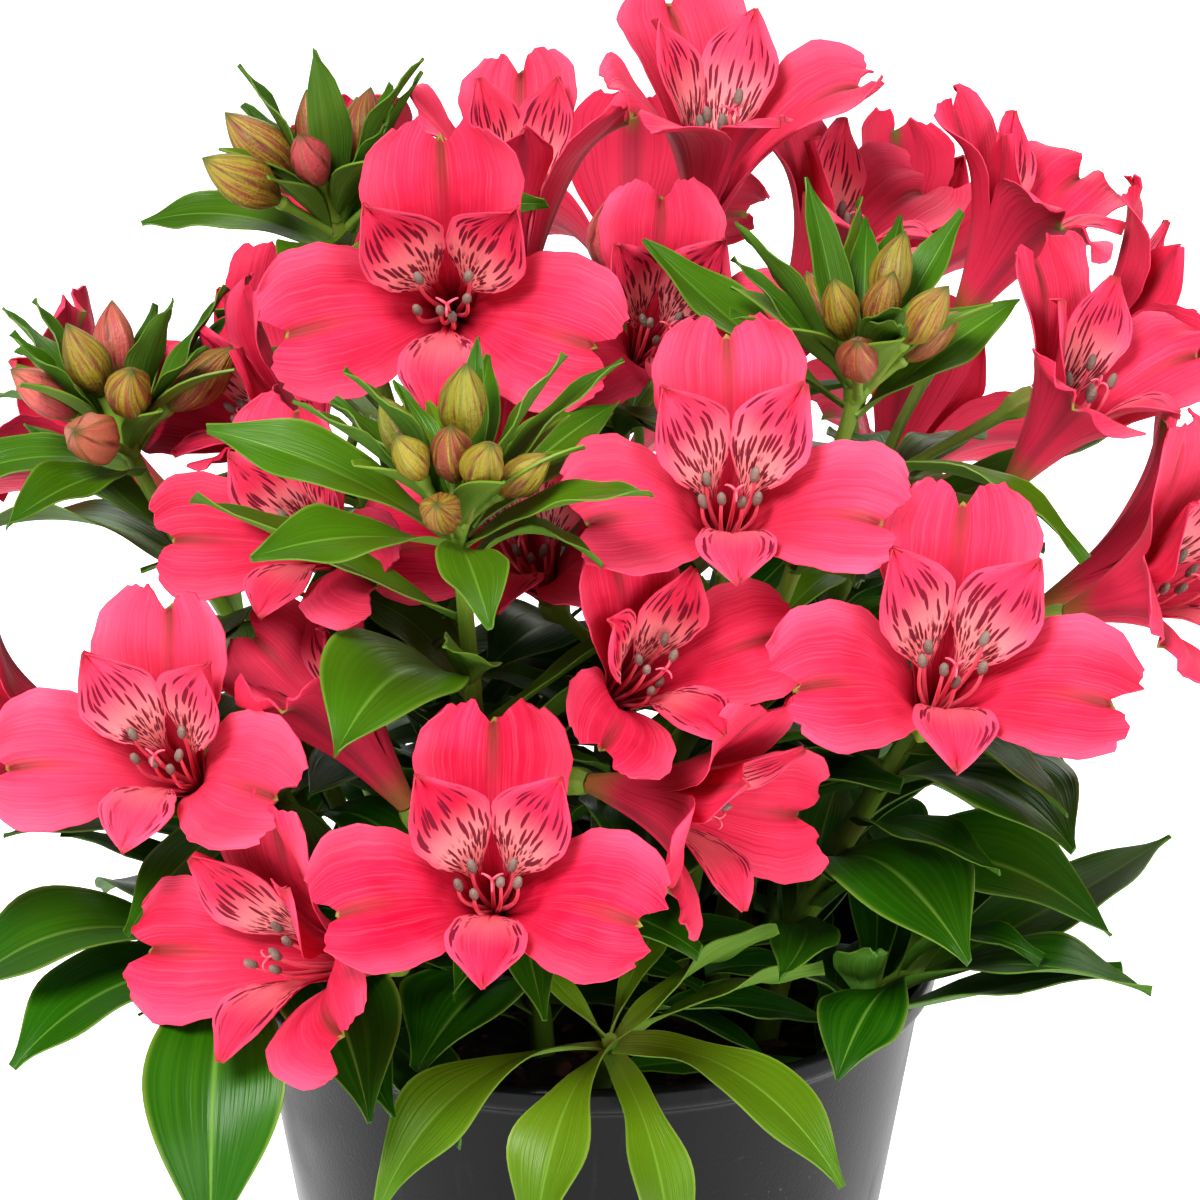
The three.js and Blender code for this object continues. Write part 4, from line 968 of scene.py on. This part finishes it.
# What a small leaf may not cross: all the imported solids, and the small leaves that have grown so far.
around = Growth()
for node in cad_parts.values():
    numbers = around.points([vertex.co / MM for vertex in node.data.vertices])
    around.faces += [numbers[list(face.vertices)].tolist() for face in node.data.polygons]
crossed = [BVHTree.FromPolygons(np.concatenate(around.places).tolist(), around.faces)]
for shoot in SHOOTS:
    node_name = "shoot_" + shoot["name"]
    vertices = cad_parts[node_name].data.vertices
    corners = KDTree(len(vertices))
    for vertex in vertices:
        corners.insert(vertex.co / MM, vertex.index)
    corners.balance()
    stations, levels = stem_stations(shoot)
    line = stem_line(shoot)
    coarse_radii = [stem_radius(shoot, t) for t in stations]
    stalk = Stalk(rings_round(cubic(line, stations), coarse_radii, 6, (0, -1, 0)))
    young = YOUNG_SHOOTS.get(shoot["name"], 0.0)
    strap = STRAP if shoot["name"] == "low_front" else 0
    skin = Growth()
    grow_stem(skin, shoot, levels, young)
    top = len(stations) - 2
    head = np.array(shoot["head"])
    carried = shoot["blooms"] + shoot["buds"]
    carried.sort(key=lambda one: math.hypot(*(np.array(one["at"]) - head)[:2]), reverse=True)
    for one in carried:
        towards = (np.array(one["at"]) - head) * (1, 1, 0)
        grow_pedicel(skin, stalk.facet(top, unit(towards)), one, young)
    for number, leaf in enumerate(leaves_of(shoot)):
        facet = stalk.facet(leaf["level"], heading(leaf["azimuth"], 0))
        found = leaf_in_solid(leaf, facet, corners)
        if found is None:
            stalk.taken.discard(facet[0])
            continue
        on_stem = number < shoot["leaves"]["count"]
        breadth = LEAF_BREADTH if on_stem else YOUNG_BREADTH if shoot["young"] else TOP_BREADTH
        grow_leaf(skin, found, young, shoot["seed"] * 13 + number + 0.7, breadth, strap)
    for k in range(0 if strap else SMALL_LEAVES):
        tries = [small_leaf(shoot, k, tried) for tried in range(LEAF_TRIES)]
        fit_leaf(skin, crossed, tries, young, shoot["seed"] * 19 + k + 0.3, 1)
    greens = skin.piece(node_name + "_grown", [stem_finish, leaf_finish])
    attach(greens, "root")
    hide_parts(node_name)


# The buds: ovoid, ribbed, pointed, the three outer tepals folded over each other with their seams and
# green tips showing. Young ones sit close together on short stalks round the top of a shoot, each over
# a small bract, and narrow leaves stand up among them.
BUD_SIDES = 27
BUD_RINGS = 22
STALK_SIDES = 14
BRACT_CELLS = (11, 6)
HEAD_LEAVES = 9
CROWN_HEIGHT = 13


def grow_bud(skin, base, way, length, radius, foot, seed, mauve):
    """A bud from its base along way; foot is its radius where it leaves its stalk."""
    t = np.linspace(0, 1, BUD_RINGS)
    profile = foot * (1 - t) ** 3 + radius * (4.2 * t * (1 - t) ** 2 + 3.1 * t * t * (1 - t)) + 0.1 * t**3
    swirl = turns(BUD_SIDES) + 0.7 * t[:, None]
    seam = np.abs(np.cos(1.5 * swirl)) ** 0.4
    ribs = 1 + 0.07 * np.cos(6 * swirl) * np.sin(np.pi * t[:, None]) ** 0.6
    fold = 0.8 + 0.22 * seam + 0.06 * ((1.5 * swirl / np.pi + 0.5) % 1 - 0.5)
    bow = radius * 0.25 * (chance(seed + 0.3) - 0.5) * np.sin(np.pi * t)
    places = base + np.outer(t * length, way) + np.outer(bow, np.cross(way, (0.3, 0.2, 0.9)))
    rings = rings_round(places, profile[:, None] * ribs * fold, BUD_SIDES, (0.3, 0.2, 0.9))
    skin.tube(rings, (seam, t[:, None], chance(seed)), (np.cos(6 * swirl), np.sin(6 * swirl), mauve))


def grow_stalk(skin, places, radii, seed):
    ribs = 1 + 0.04 * np.cos(6 * turns(STALK_SIDES))
    rings = rings_round(np.array(places), radii[:, None] * ribs, STALK_SIDES, (0.3, 0.2, 0.9))
    skin.tube(rings, (0, np.linspace(0, 1, len(places))[:, None], chance(seed)), (0, 0.5, 0), 1)


def grow_bract(skin, root, azimuth, rise, length, seed):
    leaf = dict(root=root, azimuth=azimuth, rise=rise, droop=rise - 28, swing=12, length=length)
    leaf |= dict(width=length * 0.23, twist=0, keel=0.35, wave=0.4, phase=6 * chance(seed))
    u, v = blade_grid(BRACT_CELLS)
    sheet(skin, leaf_places(leaf, u, v), (v, u, chance(seed + 0.4)), (1, 0.6, 0), 0.4, 2)


def head_leaf(young, crown, k, tried):
    """One of the narrow leaves that stand up among the young buds, at one of its tries."""

    def draw(n):
        return chance(young["draw"] * 173 + 11 * k + 1.9 * tried + n + 0.15)

    azimuth = 360 * k / HEAD_LEAVES + 70 * (draw(0) - 0.5)
    rise, length = 44 + 34 * draw(1), 25 + 13 * draw(2)
    leaf = dict(root=crown + heading(azimuth, 0) * 2.3, azimuth=azimuth, rise=rise, length=length)
    leaf |= dict(droop=rise - 34 * draw(3), swing=30 * (draw(4) - 0.5), width=length * 0.19)
    return leaf | dict(twist=50 * (draw(5) - 0.5), keel=0.35, wave=0.5, phase=6 * draw(6))


bud_finish = Finish("bud_tepals")
bud_seam, bud_along, bud_draw = bud_finish.mark("blade")
bud_rib, bud_turn, bud_mauve = bud_finish.mark("tone")
bud_cloud = bud_finish.noise(bud_finish.place(), 260.0, 3.0)
bud_speck = bud_finish.noise(bud_finish.place(), 1400.0, 2.0)
bud_streak = bud_finish.noise(bud_finish.join(bud_rib, bud_turn, bud_along * 0.8 + bud_draw * 40), 1.6, 4.0)
bud_bronze = bud_finish.mix(bud_draw, (122, 52, 26), (138, 34, 58))
bud_color = bud_finish.layers(
    bud_finish.mix(bud_draw, (128, 128, 34), (170, 142, 48)),
    ((bud_streak + bud_draw * 0.3 - bud_along * 0.1).rise(0.48, 0.72) * 0.8, bud_bronze),
    (bud_mauve, bud_finish.mix(bud_streak, (176, 28, 70), (236, 100, 120))),
    (bud_rib.rise(0.4, 1.0) * 0.6, (86, 82, 20)),
    (bud_seam.rise(0.6, 0.25) * 0.7, (112, 26, 40)),
    (bud_along.rise(0.86, 1.0) * 0.8, (64, 84, 22)),
    (bud_along.rise(0.15, 0.0) * 0.7, (104, 128, 40)),
)
bud_finish.set(Base_Color=bud_color, Roughness=0.4 + bud_cloud * 0.2)
bud_finish.set(Normal=bud_finish.bump(bud_speck * 0.6 + bud_streak + bud_rib * 0.2, 0.0005, 0.6))

for shoot in SHOOTS:
    head = np.array(shoot["head"])
    for bud in shoot["buds"]:
        skin = Growth()
        way = heading(*bud["face"][:2])
        base = np.array(bud["at"]) - way * THROAT
        seed = bud["length"] + bud["at"][0]
        grow_bud(skin, base, way, bud["length"], bud["radius"], bud["radius"] * 0.45, seed, 0.75)
        single = skin.piece(bud["label"] + "_grown", [bud_finish])
        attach(single, "root")
        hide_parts(bud["label"])
    young = shoot["young"]
    if not young:
        continue
    line = stem_line(shoot)
    axis = unit(cubic(line, 1.0) - cubic(line, 0.999))
    crown = head + axis * GAP
    length, radius = young["length"], young["radius"]
    tall = [0, 0.8, 3.2, 5.6, *(CROWN_HEIGHT + length * share for share in (0, 0.4, 0.75, 1))]
    wide = [1.8, 2.4, 2.6, 2, 1.1, radius, 0.75 * radius, 0.3]
    stalk = Stalk(rings_round([crown + axis * t for t in tall], wide, 6, (0, -1, 0)))
    skin = Growth()
    shares = np.linspace(0, 1, 14)
    places = [crown + axis * ((CROWN_HEIGHT + 0.2) * s - 0.3) for s in shares]
    radii = eased(shares, [0, 0.2, 0.45, 0.8, 1], [1.7, 2.3, 2.0, 1.0, 1.15])
    grow_stalk(skin, places, radii, young["draw"])
    grow_bud(skin, crown + axis * CROWN_HEIGHT, axis, length, radius, 1.1, young["draw"] * 5 + 0.5, 0)
    for k in range(young["count"]):
        upper = k % 2
        azimuth = 360 * k / young["count"] + 25 * chance(7 * young["draw"] + k)
        middle, up_axis, out = stalk.facet(1 + upper, heading(azimuth, 0))[1:]
        lean = np.radians((young["spread"] - 22 * upper) * (0.85 + 0.3 * chance(31 * young["draw"] + k)))
        way = unit(axis * np.cos(lean) + heading(azimuth, 0) * np.sin(lean))
        size = 0.85 + 0.3 * chance(13 * young["draw"] + k)
        stem = 7 + 5 * chance(3 * young["draw"] + k)
        places = [middle - way * 0.6 + way * (stem + 0.8) * s for s in shares]
        radii = eased(shares, [0, 0.25, 0.7, 0.92, 1], [1.1, 0.85, 0.85, 1.35, 1.1])
        grow_stalk(skin, places, radii, young["draw"] + k)
        seed = young["draw"] * 11 + k
        mauve = 0.55 * (chance(seed + 0.8) > 0.55) * ("left" in shoot["name"])
        grow_bud(skin, middle + way * stem, way, length * size, radius * size, 1.1, seed, mauve)
        grow_bract(skin, middle - out * 0.3 - up_axis * 0.5, azimuth + 26, 48, 22 + 8 * chance(seed), seed)
    for k in range(HEAD_LEAVES):
        tries = [head_leaf(young, crown + axis * (0.6 + 0.4 * k), k, tried) for tried in range(LEAF_TRIES)]
        fit_leaf(skin, crossed, tries, 0.35, young["draw"] * 23 + k, 2)
    label = "buds_" + shoot["name"]
    cluster = skin.piece(label + "_grown", [bud_finish, stem_finish, leaf_finish])
    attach(cluster, "root")
    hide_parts(label)


# The blooms: six free tepals rolled into a funnel at their claws. The three outer ones are broad and
# notched, the three inner ones narrow and pointed; the inner upper pair carries the dark dashes.
TEPAL_THICKNESS = 0.45
OUTER_CELLS = (26, 22)
INNER_CELLS = (26, 12)


def smooth(t):
    t = np.clip(t, 0, 1)
    return t * t * (3 - 2 * t)


def tepal_width(tepal, u):
    """Half the width of a tepal, an outer one broad to its end and an inner one drawn out to a point."""
    half = tepal["width"] / 2
    if tepal["notch"]:
        tip = np.sqrt(1 - 0.6 * np.maximum(0, (u - 0.8) / 0.2) ** 2)
        return half * (0.34 + 0.66 * smooth((u - 0.14) / 0.62)) * tip
    past = np.maximum(0, (u - 0.66) / 0.34)
    tip = (1 - 0.95 * past**2.4) * (1 + 0.14 * np.sin(np.pi * np.minimum(1, past * 1.4)))
    return half * (0.18 + 0.86 * smooth((u - 0.28) / 0.4)) * tip


def tepals_of(bloom):
    share = bloom["open"]

    def mixed(shut, flat):
        return [s + (f - s) * share for s, f in zip(shut, flat)]

    def draw(k):
        return chance(bloom["seed"] * 17 + k) - 0.5

    def outer(azimuth, radius, height, k):
        tepal = dict(azimuth=azimuth + 6 * draw(k), radius=mixed([1.5, 5, 9, 15 + 3 * draw(k + 1)], radius))
        tepal |= dict(height=mixed([0, 19, 32, 42], height), width=19 + 8 * share)
        tepal |= dict(notch=0.07, round=0.03, wave=2.2, phase=6.3 * draw(k + 2), ruffle=0.9, fold=1.3)
        tepal |= dict(twist=0.45 * (1 - share) + 0.2 * share * draw(k + 3), curl=2.6 * draw(k + 7) + 0.3)
        return tepal | dict(kind=0, draw=draw(k + 5) + 0.5)

    def inner(azimuth, radius, height, wide, lean, k, kind):
        tepal = dict(azimuth=azimuth + 4 * draw(k), radius=mixed([1.2, 3, 4, 6], radius))
        tepal |= dict(height=mixed([1, 17, 28, 39], height), width=wide * (0.65 + 0.35 * share))
        tepal |= dict(notch=0, round=0, wave=1.2, phase=6.3 * draw(k + 2), ruffle=0.4, fold=0.3)
        tepal |= dict(twist=lean + 0.1 * draw(k + 3), curl=1.6 * draw(k + 7))
        return tepal | dict(kind=kind, draw=draw(k + 5) + 0.5)

    return [
        outer(90, [1.5, 6, 12, 27], [0, 20, 30, 37], 1),
        outer(198, [1.5, 6, 14, 30], [0, 18, 31, 31], 2),
        outer(342, [1.5, 6, 14, 30], [0, 18, 31, 31], 3),
        inner(47, [1.2, 4.4, 6.6, 17.5], [1, 18, 28, 39], 13.4, -0.2, 4, 0),
        inner(133, [1.2, 4.4, 6.6, 17.5], [1, 18, 28, 39], 13.4, 0.2, 5, 0),
        inner(270, [1.2, 4.6, 8, 21], [1, 19, 31, 31], 12.5, 0, 6, 1),
    ]


def tepal_places(tepal, u, v):
    """A tepal in its bloom's own frame, as in the part's source, with a midrib and a crimped edge."""
    phase = tepal["phase"]
    reach = np.abs(v)
    back = tepal["notch"] * u**6 * np.maximum(0, 1 - 2.4 * reach) + tepal["round"] * u**6 * v * v
    if tepal["notch"]:
        crimp = 0.008 * np.sin(13 * v + 5 * phase) + 0.006 * np.sin(27 * v - 3 * phase)
        point = 0.035 * np.exp(-((v / 0.06) ** 2))
        back = back + u**12 * (crimp + 0.04 * np.exp(-((v / 0.2) ** 2)) - point)
    w = u - back
    profile = np.stack([tepal["radius"], tepal["height"]], -1)
    r, z = np.moveaxis(cubic(profile, w), -1, 0)
    dr, dz = np.moveaxis(cubic(profile, w + 0.01), -1, 0) - (r, z)
    run = np.hypot(dr, dz)
    in_r, in_z = -dz / run, dr / run
    s = tepal_width(tepal, u) * v
    s = s * (1 + 0.018 * smooth(u * 4 - 1.6) * np.sin(45 * u + 3 * np.sign(v) + 4 * phase))
    roll = r + 26 * u**3
    across = roll * np.sin(s / roll)
    off = roll * (1 - np.cos(s / roll))
    off = off + tepal["wave"] * u**3 * np.abs(v) * np.sin(7 * u + 2.5 * v + phase)
    off = off - (0.3 + tepal["fold"] * u**5) * smooth(u * 2.5) * np.exp(-((v / 0.13) ** 2))
    off = off + tepal["fold"] * u**7 * np.exp(-(((reach - 0.3) / 0.16) ** 2))
    off = off + tepal["ruffle"] * u**2 * reach**2 * np.sin(15 * u + 4 * v + 3 * phase)
    off = off + tepal["curl"] * u**4 * (1.6 * v * v - 0.6)
    swell = np.sin(5 * v + 9 * u + 3 * phase) * np.cos(3 * v - 5 * u + 5 * phase)
    off = off + tepal["ruffle"] * 0.6 * u**2 * swell
    turn = tepal["twist"] * u * u
    turned = across * np.cos(turn) - off * np.sin(turn)
    off = across * np.sin(turn) + off * np.cos(turn)
    a = math.radians(tepal["azimuth"])
    out = r + in_r * off
    x = out * math.cos(a) + turned * math.sin(a)
    y = out * math.sin(a) - turned * math.cos(a)
    return np.stack([x, y, z + in_z * off], -1)


def bloom_frame(bloom):
    """The ways right, up and out of a bloom's mouth, and its base."""
    azimuth, rise, *roll = bloom["face"]
    mouth = heading(azimuth, rise)
    up = unit(np.array([0, 0, 1.0]) - mouth * mouth[2])
    turn = math.radians(roll[0] if roll else 0)
    up = up * math.cos(turn) + np.cross(mouth, up) * math.sin(turn)
    return np.array([np.cross(up, mouth), up, mouth]), np.array(bloom["at"]) - mouth * THROAT * bloom["size"]


def petal_finish(name, inner):
    """The pink of a tepal with veins, its paler margins partly a painted sheen, and deeper down its throat
    partly by painted shade; the inner ones add a pale zone and dashes.
    """
    finish = Finish(name)
    across, along, draw = finish.mark("blade")
    side, age, kind = finish.mark("tone")
    reach = abs(across)
    vein = finish.noise(finish.join(across * 15, along * 0.8, draw * 70), 1.3, 3.0)
    vein_line = vein.rise(0.48, 0.7)
    thread = finish.noise(finish.join(across * 46, along * 2.2, draw * 90), 1.0, 2.0)
    cloud = finish.noise(finish.place(), 70.0, 3.0)
    front = finish.layers(
        finish.mix(cloud.rise(0.3, 0.7), (188, 12, 56), (222, 44, 84)),
        (age * 0.35, (246, 96, 126)),
        (vein_line * 0.22, (172, 10, 48)),
        (thread.rise(0.45, 0.75) * 0.16, (255, 128, 150)),
        # paler towards both margins: partly the tepal's own paler edge, partly a painted sheen
        (reach.rise(0.5, 1.0) * 0.32, (250, 112, 144)),
    )
    back = finish.layers(
        finish.mix(vein_line * 0.4, (214, 54, 86), (178, 22, 62)),
        (reach.rise(0.3, 0.04) * 0.55, (140, 52, 66)),
        (along.rise(0.2, 0.03) * 0.7, (126, 112, 44)),
    )
    if inner:
        pale_at = along.rise(0.28, 0.4) * along.rise(0.82, 0.5) * reach.rise(1.2, 0.6)
        long_at = finish.join(across * 7 + draw * 37, (along**0.7) * 6.2 + draw * 91, 0.0)
        long_where = along.rise(0.93, 0.84) * along.rise(0.42, 0.52)
        long_dash = finish.dashes(long_at, vein * 0.14) * long_where * reach.rise(0.98, 0.88)
        fine_at = finish.join(across * 8.5 + draw * 53, along * 13 + draw * 17, 0.0)
        fine_where = along.rise(0.64, 0.52) * along.rise(0.24, 0.34)
        fine_dash = finish.dashes(fine_at, vein * 0.1) * fine_where
        dash = (1 - (1 - long_dash) * (1 - fine_dash)) * (1 - kind * reach.rise(0.75, 0.4))
        front = finish.layers(
            front,
            (pale_at * (0.95 - kind * 0.6), (246, 162, 162)),
            # darker towards the claw: partly the throat's own deeper red, partly painted shade down the
            # funnel
            (along.rise(0.38, 0.2) * 0.85, (150, 8, 36)),
            (dash * 0.92, (104, 12, 40)),
            (along.rise(0.95, 1.0) * 0.6, (140, 60, 50)),
        )
    else:
        streak = reach.rise(0.17, 0.02) * along.rise(0.5, 0.97)
        mucro = reach.rise(0.1, 0.03) * along.rise(0.965, 0.985)
        tip = reach.rise(0.16, 0.03) * along.rise(0.8, 1.0)
        front = finish.layers(
            front,
            # darker towards the claw: partly the throat's own deeper red, partly painted shade down the
            # funnel
            (along.rise(0.36, 0.1) * 0.8, (160, 10, 42)),
            (streak * (0.4 + vein * 0.7), (96, 52, 30)),
            (mucro * 0.8, (150, 142, 70)),
        )
        back = finish.mix(tip, back, (104, 112, 48))
    finish.set(Base_Color=finish.mix(side, back, front), Roughness=0.5 + vein * 0.14)
    finish.set(Normal=finish.bump(vein * 0.7 + thread * 0.35, 0.0006, 0.5), Specular_IOR_Level=0.16)
    return finish


outer_finish = petal_finish("outer_tepal", False)
inner_finish = petal_finish("inner_tepal", True)
for bloom in BLOOMS:
    ways, base = bloom_frame(bloom)
    skin = Growth()
    for tepal in tepals_of(bloom):
        u, v = blade_grid(OUTER_CELLS if tepal["notch"] else INNER_CELLS)
        places = base + bloom["size"] * tepal_places(tepal, u, v) @ ways
        tone = (1, chance(bloom["seed"] * 7 + 0.5), tepal["kind"])
        thickness = (TEPAL_THICKNESS * (1 - 0.5 * v**4) * (1.6 - 0.6 * smooth(u * 3)))[..., None]
        sheet(skin, places, (v, u, tepal["draw"]), tone, thickness, 0 if tepal["notch"] else 1)
    petals = skin.piece(bloom["label"] + "_tepals", [outer_finish, inner_finish], 60)
    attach(petals, "root")
    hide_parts(bloom["label"])


# The stamens and style: six pink filaments that lie along the lower side of the throat and curve up,
# each with a small oval grey anther, and between them a thinner style with a three-cleft stigma.
STAMENS = 6
FILAMENT_SIDES = 8
ANTHER_LENGTH = 3.3
ANTHER_RADIUS = 0.82


def grow_thread(skin, controls, radii, look, seed, frame_of):
    shares = np.linspace(0, 1, len(radii))
    ways, base, size = frame_of
    points = base + size * cubic(controls, shares) @ ways
    rings = rings_round(points, np.asarray(radii) * size, FILAMENT_SIDES, ways[0])
    skin.tube(rings, (0, shares[:, None], chance(seed)), look=look)


filament_finish = Finish("filament")
filament_along = filament_finish.mark("blade")[1]
filament_cloud = filament_finish.noise(filament_finish.place(), 300.0)
filament_color = filament_finish.mix(filament_along, (200, 40, 82), (240, 104, 128))
filament_color = filament_finish.mix(filament_cloud * 0.3, filament_color, (250, 150, 150))
filament_finish.set(Base_Color=filament_color, Roughness=0.4 + filament_cloud * 0.15)
anther_finish = Finish("anther")
anther_grain = anther_finish.noise(anther_finish.place(), 2600.0, 3.0)
anther_cloud = anther_finish.noise(anther_finish.place(), 240.0)
anther_color = anther_finish.mix(anther_cloud, (104, 96, 88), (146, 128, 116))
anther_dust = anther_grain.rise(0.55, 0.75) * 0.5
anther_color = anther_finish.mix(anther_dust, anther_color, (170, 152, 128))
anther_finish.set(Base_Color=anther_color, Roughness=0.7 + anther_grain * 0.2)
anther_finish.set(Normal=anther_finish.bump(anther_grain, 0.0004, 0.7))

for bloom in BLOOMS:
    skin = Growth()
    share = bloom["open"]
    frame_of = (*bloom_frame(bloom), bloom["size"])
    for k in range(STAMENS):
        seed = bloom["seed"] * 31 + k
        a = math.radians(-90 + 44 * (k - 2.5) + 22 * (chance(seed) - 0.5))
        reach = (3.2 + 2.6 * chance(seed + 0.2)) * (0.5 + 0.5 * share)
        tall = 20 + 9 * chance(seed + 0.4)
        x, y = math.cos(a), math.sin(a)
        end = np.array([reach * x, reach * y + 1.2, tall])
        bow = np.array([reach * 1.1 * x, reach * 1.1 * y - 1.6, tall * 0.7])
        controls = [(0.6 * x, 0.6 * y, 1), (1.4 * x, 1.4 * y, 10), bow, end]
        grow_thread(skin, controls, np.linspace(0.5, 0.3, 16), 0, seed, frame_of)
        lean = unit(end - bow + np.array([2 * x, 2 * y, -3 + 5 * chance(seed + 0.6)]))
        t = np.linspace(0, 1, 11)
        oval = ANTHER_RADIUS * np.maximum(0.12, np.sqrt(np.maximum(0, 1 - (2 * t - 1) ** 2)))
        controls = [end - lean * (0.5 - s) * ANTHER_LENGTH for s in (0, 1 / 3, 2 / 3, 1)]
        grow_thread(skin, controls, oval, 1, seed, frame_of)
    tip = np.array([0.5, -1.5, 24 + 3 * share])
    controls = [(0, 0, 1), (0, -1, 10), (0.4, -2.4, 20), tip]
    grow_thread(skin, controls, np.linspace(0.45, 0.35, 14), 0, 3, frame_of)
    for k in range(3):
        a = math.radians(120 * k + 30)
        out = np.array([math.cos(a), math.sin(a), 0])
        bow = [tip + (0, 0, 1.2), tip + out * 1.4 + (0, 0, 1.8)]
        lobe = [tip - (0, 0, 0.3), *bow, tip + out * 2 + (0, 0, 0.6)]
        grow_thread(skin, lobe, np.linspace(0.34, 0.16, 8), 0, k, frame_of)
    threads = skin.piece(bloom["label"] + "_stamens", [filament_finish, anther_finish])
    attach(threads, "root")
